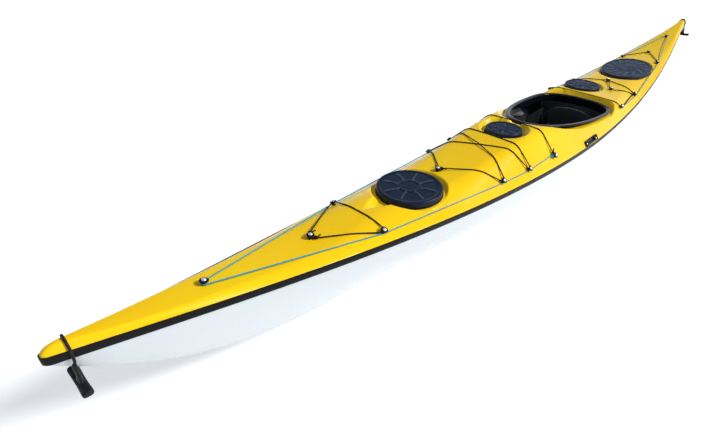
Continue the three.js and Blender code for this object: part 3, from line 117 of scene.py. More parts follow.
def curve_through(table, x):
    last = len(table) - 1
    v = clamp(x, table[0][0], table[last][0])
    i = 0
    while i < last - 1 and v > table[i + 1][0]:
        i += 1

    def slope(k):
        a, b = table[max(0, k - 1)], table[min(last, k + 1)]
        return (b[1] - a[1]) / (b[0] - a[0])
    (x0, y0), (x1, y1) = table[i], table[i + 1]
    h = x1 - x0
    t = (v - x0) / h
    return ((2 * t**3 - 3 * t**2 + 1) * y0 + (t**3 - 2 * t**2 + t) * h * slope(i)
            + (3 * t**2 - 2 * t**3) * y1 + (t**3 - t**2) * h * slope(i + 1))


def smooth_lesser(a, b, blend):
    h = clamp(0.5 + 0.5 * (b - a) / blend, 0, 1)
    return mix(b, a, h) - blend * h * (1 - h)


def end_share(x):
    return (x - WIDEST) / (HALF - WIDEST) if x > WIDEST else (WIDEST - x) / (HALF + WIDEST)


def half_beam(x):
    s = clamp(end_share(x), 0, 1)
    width = BEAM / 2 * (1 - s**1.8445) + 12 * s**10
    short = max(0, 1 - max(HALF - abs(x), 0) / NOSE_ROUND)
    return width * sqrt(1 - short**2)


def seam_height(x):
    s = clamp(end_share(x), 0, 1)
    return SHEER_LOW + (BOW_SEAM_RISE * s**1.74 if x > WIDEST else STERN_SEAM_RISE * s**2.23)


def keel_height(x):
    share = abs(x) / HALF
    rocker, power = (100, 3.8) if x > 0 else (45, 3.2)
    foot = SHEER_LOW + (BOW_SEAM_RISE if x > 0 else STERN_SEAM_RISE) - 14
    along = clamp((share - 0.18) / 0.82, 0, 1)
    stem = clamp((share - 0.46) / 0.54, 0, 1)
    return rocker * along**2 + (foot - rocker) * stem**power


def crest_height(x):
    short = max(0, 1 - max(HALF - abs(x), 0) / NOSE_DECK_ROUND)
    crest = seam_height(x) + (DECK_PEAK - SHEER_LOW) * curve_through(CREST, x / HALF)
    return mix(seam_height(x), crest, sqrt(1 - short**2))


class DeckLine:
    """One crosswise line of the bare deck."""

    def __init__(self, x):
        self.x, self.half, self.seam = x, half_beam(x), seam_height(x)
        self.rise = crest_height(x) - self.seam
        self.steep = curve_through(SIDE_SLOPE, x / HALF)
        self.land = min(DECK_LAND, 0.35 * self.rise)

    def height(self, y):
        side = self.seam + self.land + (self.half - abs(y)) * self.steep
        top = self.seam + self.rise * (1 - CROWN_SHARE * (y / self.half) ** 2)
        return smooth_lesser(side, top, min(30, self.rise / 2) + GAP)


def rim_plan(turn):
    c, s = cos(turn), sin(turn)
    reach, power = (RIM_FRONT - RIM_WIDEST, 2 / 2.15) if c > 0 else (RIM_WIDEST - RIM_BACK, 2 / 2.49)
    return RIM_WIDEST + reach * signed_power(c, power), RIM_HALF_WIDTH * signed_power(s, power)


def rim_height(x):
    s = (x - RIM_BACK) / (RIM_FRONT - RIM_BACK)
    return mix(RIM_BACK_Z, RIM_FRONT_Z, s) - RIM_SAG * 4 * s * (1 - s)


def rim_outward(turn):
    (x0, y0), (x1, y1) = rim_plan(turn - 1e-5), rim_plan(turn + 1e-5)
    run = hypot(x1 - x0, y1 - y0)
    return (y1 - y0) / run, -(x1 - x0) / run


def rim_point(turn, inward, down):
    (x, y), (nx, ny) = rim_plan(turn), rim_outward(turn)
    return x - nx * inward, y - ny * inward, rim_height(x) - down


def turns(steps):
    return [(i + 0.5) / steps * tau for i in range(steps)]


RIM_TURNS = turns(720)
rim_tree = KDTree(len(RIM_TURNS))
for place, turn in enumerate(RIM_TURNS):
    rim_tree.insert((*rim_plan(turn), 0), place)
rim_tree.balance()


def outside_rim(x, y):
    """How far a point lies outside the cockpit rim seen from above, and the rim's height beside it."""
    near, place, _ = rim_tree.find((x, y, 0))
    nx, ny = rim_outward(RIM_TURNS[place])
    return (x - near.x) * nx + (y - near.y) * ny, rim_height(near.x)


def outside_hatch(hatch, x, y):
    """How far a point lies outside a hatch cover, seen from above."""
    u, v, a, b = x - hatch["x"], y - hatch["y"], hatch["along"], hatch["across"]
    out = hypot(u, v) - min(a, b)
    if a != b:
        out = max(out * min(a, b) / max(a, b), 5 - b)
        for _ in range(4):
            miss = (u / (a + out)) ** 2 + (v / (b + out)) ** 2 - 1
            out += miss / (2 * (u * u / (a + out) ** 3 + v * v / (b + out) ** 3) + 1e-9)
            out = max(out, 5 - b)
    return out


def hatch_point(hatch, turn, outside, down):
    c, s = cos(hatch["tilt"]), sin(hatch["tilt"])
    along = (hatch["along"] + outside) * cos(turn)
    return (hatch["x"] + along * c - down * s, hatch["y"] + (hatch["across"] + outside) * sin(turn),
            hatch["z"] - along * s - down * c)


DRAINS = [("bow", 1), ("pod", -1)]
DRAIN_LONG, DRAIN_WIDE = 95, 34


def drain_floor(hatch, way, x, y, out, seat):
    """A wedge-shaped groove that leads water out of a hatch's recess, along the boat."""
    along = way * (x - hatch["x"])
    if along < 0 or out > SEAT_MARGIN + DRAIN_LONG:
        return BEAM
    run = max(0, out - SEAT_MARGIN) / DRAIN_LONG
    beside = max(0, abs(y - hatch["y"]) - DRAIN_WIDE * (1 - run))
    return seat + hatch["skirt"] * 0.85 * run + beside * RECESS_STEEP


def moulded_height(line, y):
    """The deck with the hatches' seats and the dip round the coaming moulded in."""
    z = line.height(y)
    for hatch in HATCHES.values():
        if abs(line.x - hatch["x"]) < hatch["along"] + DIP_REACH:
            out = outside_hatch(hatch, line.x, y)
            seat = hatch["z"] - hatch["skirt"] - hatch["tilt"] * (line.x - hatch["x"])
            foot = seat - max(0, out - SEAT_MARGIN) * PEDESTAL_STEEP
            z = -smooth_lesser(-z, -foot, 5)
            z = smooth_lesser(z, seat + max(0, out - SEAT_MARGIN) * RECESS_STEEP, 2.5)
            for name, way in DRAINS:
                if hatch is HATCHES[name]:
                    z = smooth_lesser(z, drain_floor(hatch, way, line.x, y, out, seat), 4)
    if RIM_BACK - DIP_REACH < line.x < RIM_FRONT + DIP_REACH:
        out, level = outside_rim(line.x, y)
        z = smooth_lesser(z, level - APRON_DROP + max(0, out - APRON_MARGIN) * APRON_STEEP, 13)
    return z


# Materials
def linear(colour):
    """An sRGB hex colour as linear RGBA."""
    parts = [int(colour[i:i + 2], 16) / 255 for i in (1, 3, 5)]
    return (*[c / 12.92 if c <= 0.04045 else ((c + 0.055) / 1.055) ** 2.4 for c in parts], 1.0)


def add_node(tree, kind, settings=None, values=None, links=None):
    """One node with its settings, its socket values and what is linked into it."""
    node = tree.nodes.new(kind)
    for key, value in (settings or {}).items():
        setattr(node, key, value)
    for key, value in (values or {}).items():
        node.inputs[key].default_value = value
    for key, source in (links or {}).items():
        tree.links.new(source, node.inputs[key])
    return node


def per_mm(size):
    """Texture scale for a pattern whose real spacing is this many millimetres."""
    return 1000 / size


def start_material(name):
    """A material with an empty tree, and the places on the boat that its patterns follow."""
    material = bpy.data.materials.new(name)
    material.use_nodes = True
    tree = material.node_tree
    tree.nodes.clear()
    return material, tree, add_node(tree, "ShaderNodeTexCoord").outputs["Object"]


def surface(tree, values, links):
    """The material's shader, wired to its output."""
    shader = add_node(tree, "ShaderNodeBsdfPrincipled", values=values, links=links)
    add_node(tree, "ShaderNodeOutputMaterial", links={"Surface": shader.outputs[0]})


def blotches(tree, where, size, detail, stretch=(1, 1, 1), rough=0.5):
    """Random blotches of this many millimetres. A first stretch below 1 draws them out along the boat."""
    spread = add_node(tree, "ShaderNodeMapping", values={"Scale": stretch}, links={"Vector": where})
    return add_node(tree, "ShaderNodeTexNoise",
                    values={"Scale": per_mm(size), "Detail": detail, "Roughness": rough},
                    links={"Vector": spread.outputs[0]}).outputs["Fac"]


def uneven(tree, blotch, low, high, start=0.3, end=0.7):
    """A value that wanders from low to high over blotches made with these settings."""
    return add_node(tree, "ShaderNodeMapRange",
                    values={"From Min": start, "From Max": end, "To Min": low, "To Max": high},
                    links={"Value": blotches(tree, *blotch)}).outputs[0]


# The colour sockets of a Mix node, which has sockets of the same names for other kinds of value
FIRST_COLOUR, SECOND_COLOUR, MIXED_COLOUR = 6, 7, 2


def tinted(tree, pattern, first, second, start=0.3, end=0.7):
    """One colour where the pattern is below start, the other above end, and a blend between."""
    share = add_node(tree, "ShaderNodeMapRange",
                     values={"From Min": start, "From Max": end, "To Min": 0, "To Max": 1},
                     links={"Value": pattern})
    return add_node(tree, "ShaderNodeMix", {"data_type": "RGBA"},
                    {FIRST_COLOUR: linear(first), SECOND_COLOUR: linear(second)},
                    {"Factor": share.outputs[0]}).outputs[MIXED_COLOUR]


def crossed_threads(tree, where, spacing, wander, axes, crossing):
    """Two sets of threads at a real spacing in millimetres, one over the other."""
    threads = [add_node(tree, "ShaderNodeTexWave", {"bands_direction": axis},
                        {"Scale": per_mm(spacing) / tau, "Distortion": wander},
                        {"Vector": where}).outputs["Fac"] for axis in axes]
    return add_node(tree, "ShaderNodeMath", {"operation": crossing},
                    links={0: threads[0], 1: threads[1]}).outputs[0]


def gelcoat(name, main, worn, gloss, dull, mirror):
    """Polyester gelcoat sprayed into a polished mould: deep even colour, a gloss with hand smears,
    a faint slow waviness where the cloth behind prints through, and hairline scratches along the boat."""
    material, tree, where = start_material(name)
    smears = uneven(tree, (where, 70, 4, (0.35, 1, 1), 0.62), gloss, dull)
    scratches = uneven(tree, (where, 2.2, 2, (0.012, 1, 1)), 0, 0.10, 0.62, 0.72)
    rough = add_node(tree, "ShaderNodeMath", {"operation": "ADD"}, links={0: smears, 1: scratches})
    waves = add_node(tree, "ShaderNodeBump", values={"Strength": 0.35, "Distance": 0.25 * MM},
                     links={"Height": blotches(tree, where, 55, 1)})
    relief = add_node(tree, "ShaderNodeBump", values={"Strength": 0.3, "Distance": 0.01 * MM},
                      links={"Height": blotches(tree, where, 1.4, 1), "Normal": waves.outputs[0]})
    surface(tree, {"IOR": 1.52, "Specular IOR Level": mirror}, {
        "Base Color": tinted(tree, blotches(tree, where, 380, 3), main, worn),
        "Roughness": rough.outputs[0],
        "Normal": relief.outputs[0],
    })
    return material


def moulded(name, main, light, rough, grain_mm, grain_depth, bloom=0.0):
    """Injection-moulded nylon or ABS and pressed rubber: one colour with paler dust, a spark-eroded grain
    from the mould and, on the covers' rubber, a bluish sheen that is a painted reflection of the sky."""
    material, tree, where = start_material(name)
    grain = add_node(tree, "ShaderNodeTexVoronoi", values={"Scale": per_mm(grain_mm)},
                     links={"Vector": where})
    relief = add_node(tree, "ShaderNodeBump", values={"Strength": 0.5, "Distance": grain_depth * MM},
                      links={"Height": grain.outputs["Distance"]})
    # the sheen on the covers' rubber is tinted blue as a painted reflection of the sky
    surface(tree, {"Specular IOR Level": 0.2, "Sheen Weight": bloom, "Sheen Roughness": 0.45,
                   "Sheen Tint": linear(SKY_REFLECTION_SHEEN_TINT)}, {
        "Base Color": tinted(tree, blotches(tree, where, 45, 4), main, light, 0.42, 0.75),
        "Roughness": uneven(tree, (where, 25, 3), rough - 0.08, rough + 0.12),
        "Normal": relief.outputs[0],
    })
    return material


def braided(name, main, fleck, plait_mm):
    """Braided polyester cover: rounded strands, with a lighter fleck in the hollows between them.
    The plait is drawn at its real spacing of a little over a millimetre."""
    material, tree, where = start_material(name)
    plait = add_node(tree, "ShaderNodeTexVoronoi", {"feature": "F1"},
                     {"Scale": per_mm(plait_mm), "Randomness": 0.25},
                     {"Vector": where}).outputs["Distance"]
    relief = add_node(tree, "ShaderNodeBump", values={"Strength": 0.8, "Distance": -0.5 * MM},
                      links={"Height": plait})
    surface(tree, {"Specular IOR Level": 0.2, "Roughness": 0.7, "Sheen Weight": 0.04}, {
        "Base Color": tinted(tree, plait, main, fleck, 0.15, 0.75),
        "Normal": relief.outputs[0],
    })
    return material


def glass_laminate(name, main, dark, rough):
    """Flow-coated glass cloth inside the shells: brushed resin colour over the square weave of the cloth."""
    material, tree, where = start_material(name)
    cloth = crossed_threads(tree, where, 5, 0.6, "XZ", "MAXIMUM")
    relief = add_node(tree, "ShaderNodeBump", values={"Strength": 0.5, "Distance": 0.25 * MM},
                      links={"Height": cloth})
    surface(tree, {"IOR": 1.52}, {
        "Base Color": tinted(tree, blotches(tree, where, 60, 4), main, dark),
        "Roughness": uneven(tree, (where, 20, 3), rough - 0.1, rough + 0.15),
        "Normal": relief.outputs[0],
    })
    return material


def metal(name, main, dark, rough, brush, anisotropic):
    """Metal with a drawn surface, whose fine lines stretch its highlights, or an even turned one."""
    material, tree, where = start_material(name)
    lines = (where, 0.8, 2, brush)
    relief = add_node(tree, "ShaderNodeBump", values={"Strength": 0.4, "Distance": 0.02 * MM},
                      links={"Height": blotches(tree, *lines)})
    surface(tree, {"Metallic": 1.0, "Anisotropic": anisotropic}, {
        "Base Color": tinted(tree, blotches(tree, where, 30, 3), main, dark),
        "Roughness": uneven(tree, lines, rough - 0.06, rough + 0.1),
        "Normal": relief.outputs[0],
    })
    return material


def woven_cover(name, main, light):
    """Woven nylon cover over foam: two sets of threads, a soft sheen and pale dust on the high threads."""
    material, tree, where = start_material(name)
    cloth = crossed_threads(tree, where, 1.6, 0.3, "YZ", "MULTIPLY")
    relief = add_node(tree, "ShaderNodeBump", values={"Strength": 0.8, "Distance": 0.3 * MM},
                      links={"Height": cloth})
    surface(tree, {"IOR": 1.5, "Roughness": 0.85, "Sheen Weight": 0.35}, {
        "Base Color": tinted(tree, cloth, main, light, 0, 0.8),
        "Normal": relief.outputs[0],
    })
    return material


# Blue tint of the covers' sheen: a painted reflection of the sky
SKY_REFLECTION_SHEEN_TINT = "#4a80cf"
YELLOW_GELCOAT = gelcoat("yellow_gelcoat_polished", "#ffd312", "#fecb0d", 0.14, 0.30, 0.2)
WHITE_GELCOAT = gelcoat("white_gelcoat_polished", "#eaeef0", "#e2e8eb", 0.14, 0.28, 0.4)
TAPE_GELCOAT = gelcoat("black_seam_gelcoat", "#121212", "#181818", 0.30, 0.48, 0.08)
COAMING_GELCOAT = gelcoat("black_coaming_gelcoat", "#0b0e16", "#10131c", 0.08, 0.20, 0.1)
# The covers' dark rubber is tinted blue, partly as a painted reflection of the sky
HATCH_RUBBER = moulded("pressed_hatch_rubber", "#0e1a29", "#142334", 0.36, 0.9, 0.05, 0.12)
# Paler rubber on the crests of the covers' ribs: a painted highlight
RIB_HIGHLIGHT_RUBBER = moulded("hatch_rubber_painted_crest_highlight", "#2f4254", "#42586e", 0.34, 0.9, 0.03, 0.12)
TOGGLE_RUBBER = moulded("pressed_toggle_rubber", "#101315", "#1a1e20", 0.5, 1.1, 0.08)
BLACK_NYLON = moulded("moulded_black_nylon", "#0c0d0f", "#17191b", 0.42, 0.7, 0.04)
SEAT_ABS = moulded("moulded_seat_abs", "#141618", "#1f2224", 0.5, 1.5, 0.12)
GREY_NYLON = moulded("moulded_grey_nylon", "#8b9094", "#9a9fa3", 0.45, 0.8, 0.05)
DECK_LINE = braided("braided_deck_line", "#1d6f86", "#3fb4d0", 1.3)
BUNGEE = braided("braided_shock_cord", "#120f0d", "#261f1b", 1.2)
# Dark grey flow coat inside the shells, made this dark partly as painted shade for the deep inside
INNER_COAT_AND_PAINTED_SHADE = glass_laminate("inner_flow_coat_and_painted_shade", "#24282b", "#1a1d20", 0.5)
BARE_LAMINATE = glass_laminate("bulkhead_glass_laminate", "#8f9494", "#7b8080", 0.45)
ALLOY = metal("anodised_aluminium", "#b9bcc0", "#a6aaae", 0.32, (0.03, 1, 1), 0.4)
STAINLESS = metal("turned_stainless_steel", "#f3f3f1", "#e6e6e3", 0.34, (1, 1, 1), 0.0)
FOAM_COVER = woven_cover("woven_nylon_cover", "#1d1f22", "#303337")


# Meshes
def piece(name, points, faces, materials, nodes, sharp, choose=None):
    """A finished piece from points in millimetres, riding on the body of the nodes it stands for."""
    mesh = bpy.data.meshes.new(name)
    mesh.from_pydata([Vector(p) * MM for p in points], [], faces)
    for material in materials:
        mesh.materials.append(material)
    if choose:
        for face in mesh.polygons:
            face.material_index = choose(face.index)
    mesh.polygons.foreach_set("use_smooth", [True] * len(mesh.polygons))
    mesh.update()
    mesh.set_sharp_from_angle(angle=radians(sharp))
    obj = bpy.data.objects.new(name, mesh)
    bpy.context.scene.collection.objects.link(obj)
    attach(obj, BODY_OF[nodes[0]])
    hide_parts(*nodes)
    return obj


def face_outward(obj, inward):
    """Turns the faces of a sheet away from the middle of it, or toward it."""
    middle = sum((v.co for v in obj.data.vertices), Vector()) / len(obj.data.vertices)
    out = sum(p.area * p.normal.dot(p.center - middle) for p in obj.data.polygons)
    if (out < 0) != inward:
        obj.data.flip_normals()


def rows_to_faces(rows, count, ring=False, loop=False):
    """Quads over rows of equal count. A ring joins the ends of a row, a loop the last row to the first."""
    faces = []
    for r in range(rows if loop else rows - 1):
        for i in range(count if ring else count - 1):
            j, s = (i + 1) % count, (r + 1) % rows
            faces.append((r * count + i, r * count + j, s * count + j, s * count + i))
    return faces


def closed(obj):
    """Turns every face of a closed mesh outward."""
    bm = bmesh.new()
    bm.from_mesh(obj.data)
    bmesh.ops.recalc_face_normals(bm, faces=bm.faces)
    bm.to_mesh(obj.data)
    bm.free()
    return obj


def lofted(name, rings, materials, nodes, sharp, choose=None):
    """A closed skin over rings of equal count, with a flat face at each end."""
    count = len(rings[0])
    faces = rows_to_faces(len(rings), count, ring=True)
    faces += [tuple(range(count))[::-1], tuple(range(count * (len(rings) - 1), count * len(rings)))]
    points = [p for ring in rings for p in ring]
    return closed(piece(name, points, faces, materials, nodes, sharp, choose))


def looped(name, rings, materials, nodes, sharp):
    """A closed band: each ring runs round the band, and the last ring joins the first."""
    faces = rows_to_faces(len(rings), len(rings[0]), ring=True, loop=True)
    closed(piece(name, [p for ring in rings for p in ring], faces, materials, nodes, sharp))


def spaced(zones, coarse):
    """Places along the boat, close together in the zones given as (low, high, step)."""
    places, x, end = [], -(HALF - END_FLAT), HALF - END_FLAT
    while x < end - 1:
        places.append(x)
        steps = [step for low, high, step in zones if low <= x <= high] or [coarse]
        x += min(steps)
    return places + [end]


END_ZONES = [(-HALF, -HALF + 60, 3), (HALF - 60, HALF, 3)]
DECK_ZONES = END_ZONES + [(RIM_BACK - 60, RIM_FRONT + 60, 5)] + [
    (h["x"] - h["along"] - 50, h["x"] + h["along"] + 50, 4.5) for h in HATCHES.values()]


def hull_half(x, points):
    """Half a section of the hull, from the seam to the flat of the keel."""
    seam, keel, half = seam_height(x), keel_height(x), half_beam(x)
    flat = min(mix(36, 3, clamp(abs(x) / HALF, 0, 1)), half / 2)
    power = 2 / curve_through(FULLNESS, x / HALF)
    land = min(TAPE_HEIGHT / (seam - keel), 1) / 2
    start = asin(land ** (1 / power))
    line = [(half, seam)]
    for i in range(points):
        a = mix(start, pi / 2, i / (points - 1))
        line.append((flat + (half - flat) * (cos(a) ** power if i < points - 1 else 0),
                     seam - (seam - keel) * sin(a) ** power))
    return line


def inset_line(line, distance):
    """A section moved inward by the thickness of the laminate."""
    moved = []
    for i, (y, z) in enumerate(line):
        a, b = line[max(0, i - 1)], line[min(len(line) - 1, i + 1)]
        run = hypot(b[0] - a[0], b[1] - a[1]) or 1
        ny, nz = ((b[1] - a[1]) / run, (a[0] - b[0]) / run) if i else (-1, 0)
        moved.append((y + ny * distance, z + nz * distance))
    return moved


SKEG_SLOT = (-1735, -1395, 5.5)
BULKHEADS = {"front": 1050, "rear": -515, "stern": -900}
BULKHEAD_THICK = 6
# Places along the boat where a plate and its fillets have to stay under the deck
FILLET_PLACES = (-16, -8, 3, 14, 22)


def make_hull():
    """Outside of the hull, open along the skeg's slot, and the flow-coated inside."""
    for name, points, coarse, inset, material in (
            ("hull_moulding", 26, 22, 0, WHITE_GELCOAT), ("hull_inside", 14, 40, WALL, INNER_COAT_AND_PAINTED_SHADE)):
        places = spaced([] if inset else END_ZONES, coarse)
        if inset:
            places = [x for x in places if half_beam(x) > INSIDE_HALF_BEAM]
        slot = SKEG_SLOT[:2]
        places = sorted({x for x in places if min(abs(x - s) for s in slot) > 4} | set(slot))
        rows = []
        for x in places:
            half = inset_line(hull_half(x, points), inset)
            half += [(SKEG_SLOT[2] if half[-1][0] > SKEG_SLOT[2] else half[-1][0] / 2, half[-1][1])]
            rows.append([(x, y, z) for y, z in half] + [(x, -y, z) for y, z in reversed(half)])
        count = len(rows[0])
        faces = [f for f in rows_to_faces(len(rows), count)
                 if f[0] % count != count // 2 - 1 or not slot[0] <= places[f[0] // count] < slot[1]]
        faces += [tuple(range(count)), tuple(range(count * (len(rows) - 1), count * len(rows)))[::-1]]
        obj = piece(name, [p for row in rows for p in row], faces, [material], ["hull"], 50)
        face_outward(obj, inward=bool(inset))


def snapped(mesh):
    """Moves the edge of each hatch opening and of the cockpit onto its true line."""
    bm = bmesh.new()
    bm.from_mesh(mesh)
    for vertex in (v for v in bm.verts if v.is_boundary):
        x, y = vertex.co.x / MM, vertex.co.y / MM
        for hatch in HATCHES.values():
            out = outside_hatch(hatch, x, y)
            if abs(out - NECK_OUT - GAP) < 12:
                u, v = x - hatch["x"], y - hatch["y"]
                grow = 1 - (out - NECK_OUT - GAP) / hypot(u, v)
                vertex.co.x, vertex.co.y = (hatch["x"] + u * grow) * MM, (hatch["y"] + v * grow) * MM
        if RIM_BACK < x < RIM_FRONT and abs(y) < RIM_HALF_WIDTH - 10:
            out, _ = outside_rim(x, y)
            _, place, _ = rim_tree.find((x, y, 0))
            nx, ny = rim_outward(RIM_TURNS[place])
            if abs(out + RIM_LIP) < 12:
                vertex.co.x -= nx * (out + RIM_LIP) * MM
                vertex.co.y -= ny * (out + RIM_LIP) * MM
    bm.to_mesh(mesh)
    bm.free()


def lowered(rows):
    """Each point as low as its lowest neighbour, so a coarse inner skin stays under the outer one."""
    last, count = len(rows) - 1, len(rows[0])
    return [[(x, y, min(rows[clamp(r + i, 0, last)][clamp(k + j, 0, count - 1)][2]
                        for i in (-1, 0, 1) for j in (-1, 0, 1)) if 0 < k < count - 1 else z)
             for k, (x, y, z) in enumerate(row)] for r, row in enumerate(rows)]


def make_deck():
    """The deck moulding with its recesses, and its dark underside."""
    for name, zones, coarse, lines, inset, material in (
            ("deck_moulding", DECK_ZONES, 17, 64, 0, YELLOW_GELCOAT),
            ("deck_inside", [(RIM_BACK, RIM_FRONT, 12)], 24, 24, WALL, INNER_COAT_AND_PAINTED_SHADE)):
        places = [x for x in spaced(zones, coarse) if not inset or half_beam(x) > INSIDE_HALF_BEAM]
        rows = []
        for x in places:
            line = DeckLine(x)
            reach = line.half - inset
            inner = [reach * (1 - i / lines) for i in range(2 * lines + 1)]
            heights = [moulded_height(line, y) - inset for y in inner]
            rows.append([(x, reach, line.seam), *[(x, y, z) for y, z in zip(inner, heights)],
                         (x, -reach, line.seam)])
        if inset:
            rows = lowered(rows)
        count = len(rows[0])
        points = [p for row in rows for p in row]
        faces = []
        for face in rows_to_faces(len(rows), count):
            x, y = (sum(points[i][k] for i in face) / 4 for k in (0, 1))
            in_hatch = any(outside_hatch(h, x, y) < NECK_OUT + GAP for h in HATCHES.values())
            if not in_hatch and not (RIM_BACK < x < RIM_FRONT and outside_rim(x, y)[0] < -RIM_LIP):
                faces.append(face)
        if not inset:
            faces += [tuple(range(count)), tuple(range(count * (len(rows) - 1), count * len(rows)))[::-1]]
        obj = piece(name, points, faces, [material], ["deck"], 60)
        snapped(obj.data)
        face_outward(obj, inward=bool(inset))


def make_seam_tape():
    """The glassed joint of hull and deck: a black band with softened edges."""
    places = spaced(END_ZONES, 20)
    outline = [(x, half_beam(x)) for x in places] + [(x, -half_beam(x)) for x in reversed(places)]
    count = len(outline)
    profile = [(-0.4, 12.4), (0.8, 13), (1.5, 11.6), (TAPE_OUT, 9), (TAPE_OUT, 0), (TAPE_OUT, -9),
               (1.5, -11.6), (0.8, -13), (-0.4, -12.4)]
    rings = []
    for out, up in profile:
        ring = []
        for i, (x, y) in enumerate(outline):
            (x0, y0), (x1, y1) = outline[i - 1], outline[(i + 1) % count]
            run = hypot(y0 - y1, x1 - x0)
            ring.append((x + (y0 - y1) / run * out, y + (x1 - x0) / run * out, seam_height(x) + up))
        rings.append(ring)
    looped("seam_band", rings, [TAPE_GELCOAT], ["seam_tape"], 60)


def make_coaming():
    """The cockpit rim with a rolled lip, and a thigh brace under each front quarter."""
    profile = [(2, RIM_THICK), (0.6, 4.3), (0, 3), (0.4, 1.4), (1.8, 0.3), (4, 0), (14, -0.4), (20, 0),
               (23.5, 1), (26, 3.4), (27, 7), (27, COAMING_DEPTH), (RIM_LIP, COAMING_DEPTH), (RIM_LIP, 9),
               (21.5, 6), (18, RIM_THICK)]
    rings = [[rim_point(t, inward, down) for t in turns(160)] for inward, down in profile]
    looped("cockpit_rim", rings, [COAMING_GELCOAT], ["cockpit_coaming"], 50)
    for side, name in ((1, "port_thigh_brace"), (-1, "starboard_thigh_brace")):
        rows = []
        for i in range(25):
            s = i / 24
            reach = 2 + 57 * sin(pi * s) ** 0.8
            turn = side * mix(0.77, 1.23, s)
            upper = [rim_point(turn, RIM_LIP + 2 + reach * t, 34 + 7 * t * t)
                     for t in (0, 0.3, 0.6, 0.85, 0.97, 1)]
            lower = [rim_point(turn, RIM_LIP + 2 + reach * t, 39 + 7 * t * t)
                     for t in (0.98, 0.85, 0.6, 0.3, 0)]
            rows.append(upper + lower)
        lofted(name, rows, [COAMING_GELCOAT], ["cockpit_coaming"], 60)


RIBS = 8
COVER_RINGS = 40


def rib_height(name, rho, turn, hatch):
    """Share of a rib's full height: waves on the long stern cover, straight ribs on the round ones."""
    if name == "stern":
        return (0.5 + 0.5 * cos(14 * (turn + 0.09 * sin(9 * rho)))) ** 3 * soft(rho, 0.46, 0.56)
    nearest = (turn / tau * RIBS) % 1 - 0.5
    away = abs(nearest) * tau / RIBS * rho * hatch["across"]
    return 1 - soft(away, 1.8, 4.6)


def cover_relief(name, rho, turn, hatch):
    """Height of a cover's moulded pattern, from nothing down to the lowest field, in millimetres."""
    edge_ring = soft(rho, 0.86, 0.9)
    ribs = rib_height(name, rho, turn, hatch) * soft(rho, 0.3, 0.36) * (1 - soft(rho, 0.8, 0.86))
    if name == "stern":
        return -2.2 + 2.2 * max(edge_ring, 0.75 * ribs) + 0.8 * (1 - soft(rho, 0.30, 0.34))
    hub_ring = soft(rho, 0.24, 0.27) * (1 - soft(rho, 0.33, 0.36))
    return -2.6 + 2.6 * max(edge_ring, 0.9 * ribs, 0.9 * hub_ring) + 1.2 * (1 - soft(rho, 0.2, 0.25))


def make_cover(name, hatch):
    """A press-on rubber cover: rolled skirt, edge ring and moulded ribs."""
    steps = 144 if name == "stern" else 112
    low = hatch["skirt"] - GAP - FOOT_THICK - 1
    angles = turns(steps)
    rings = [[hatch_point(hatch, t, -COVER_THICK - 8, COVER_THICK + 2.6) for t in angles],
             [hatch_point(hatch, t, -COVER_THICK, COVER_THICK + 1) for t in angles],
             [hatch_point(hatch, t, -COVER_THICK, low) for t in angles]]
    skirt = [(0, low), (0.6, low - 1.5), (0.6, low - 4.5), (0, low - 6), (0, 9), (-0.4, 5.4), (-1.6, 2.4),
             (-4, 0.5), (-7, 0)]
    rings += [[hatch_point(hatch, t, out, down) for t in angles] for out, down in skirt]
    inner = hatch["across"] - 7
    for k in range(1, COVER_RINGS):
        rho = (1 - k / COVER_RINGS) * inner / hatch["across"]
        ring = []
        for t in angles:
            _, y, _ = hatch_point(hatch, t, -(1 - rho) * hatch["across"], 0)
            along = hatch["along"] * rho * cos(t)
            z = hatch["z"] - hatch["tilt"] * along + cover_relief(name, rho, t, hatch)
            ring.append((hatch["x"] + along, y, z))
        rings.append(ring)
    first = (len(rings) - COVER_RINGS + 1) * steps

    def rib_crest_highlight(face):
        """1 on the crests of the ribs, painted pale as a highlight, and 0 elsewhere."""
        ring, place = divmod(face - first, steps)
        rho = (1 - (ring + 1.5) / COVER_RINGS) * inner / hatch["across"]
        if face < first or ring >= COVER_RINGS - 2 or not 0.34 < rho < 0.84:
            return 0
        return int(rib_height(name, rho, (place + 1) / steps * tau, hatch) > 0.5)
    lofted(name + "_cover_moulding", rings, [HATCH_RUBBER, RIB_HIGHLIGHT_RUBBER], [name + "_hatch_cover"],
           55, rib_crest_highlight)


def make_rim(name, hatch):
    """The glued nylon ring under a cover: a foot on the deck, a neck and a lip."""
    foot, low, lip = hatch["skirt"] - GAP, hatch["skirt"] + 12, COVER_THICK + GAP
    profile = [(FOOT_OUT, foot), (FOOT_OUT, foot - 2.4), (FOOT_OUT - 0.6, foot - FOOT_THICK),
               (NECK_OUT + 0.6, foot - 3.2), (NECK_OUT, foot - 4), (NECK_OUT, 4.2),
               (NECK_OUT - 0.9, lip), (NECK_OUT - NECK_THICK + 0.9, lip), (NECK_OUT - NECK_THICK, 4.2),
               (NECK_OUT - NECK_THICK, low), (NECK_OUT, low), (NECK_OUT, foot)]
    rings = [[hatch_point(hatch, t, out, down) for t in turns(112)] for out, down in profile]
    looped(name + "_rim_moulding", rings, [BLACK_NYLON], [name + "_hatch_rim"], 50)


def make_pod():
    """The glove pod: a tapered bowl that hangs under the small hatch."""
    hatch = HATCHES["pod"]
    top, inside, taper = hatch["skirt"] + WALL + GAP, NECK_OUT + GAP, -0.2 * hatch["along"]
    profile = [(inside + taper - 12, top + 117), (inside + taper - 3, top + 116), (inside + taper, top + 112),
               (inside, top + 12), (inside, top), (inside + 11, top), (inside + 11, top + 4),
               (inside + 3, top + 4), (inside + 3, top + 12),
               (inside + 3 + taper, top + 114), (inside + taper, top + 119), (inside + taper - 12, top + 120)]
    rings = [[hatch_point(hatch, t, out, down) for t in turns(96)] for out, down in profile]
    lofted("pod_bowl", rings, [BLACK_NYLON], ["glove_pod"], 50)


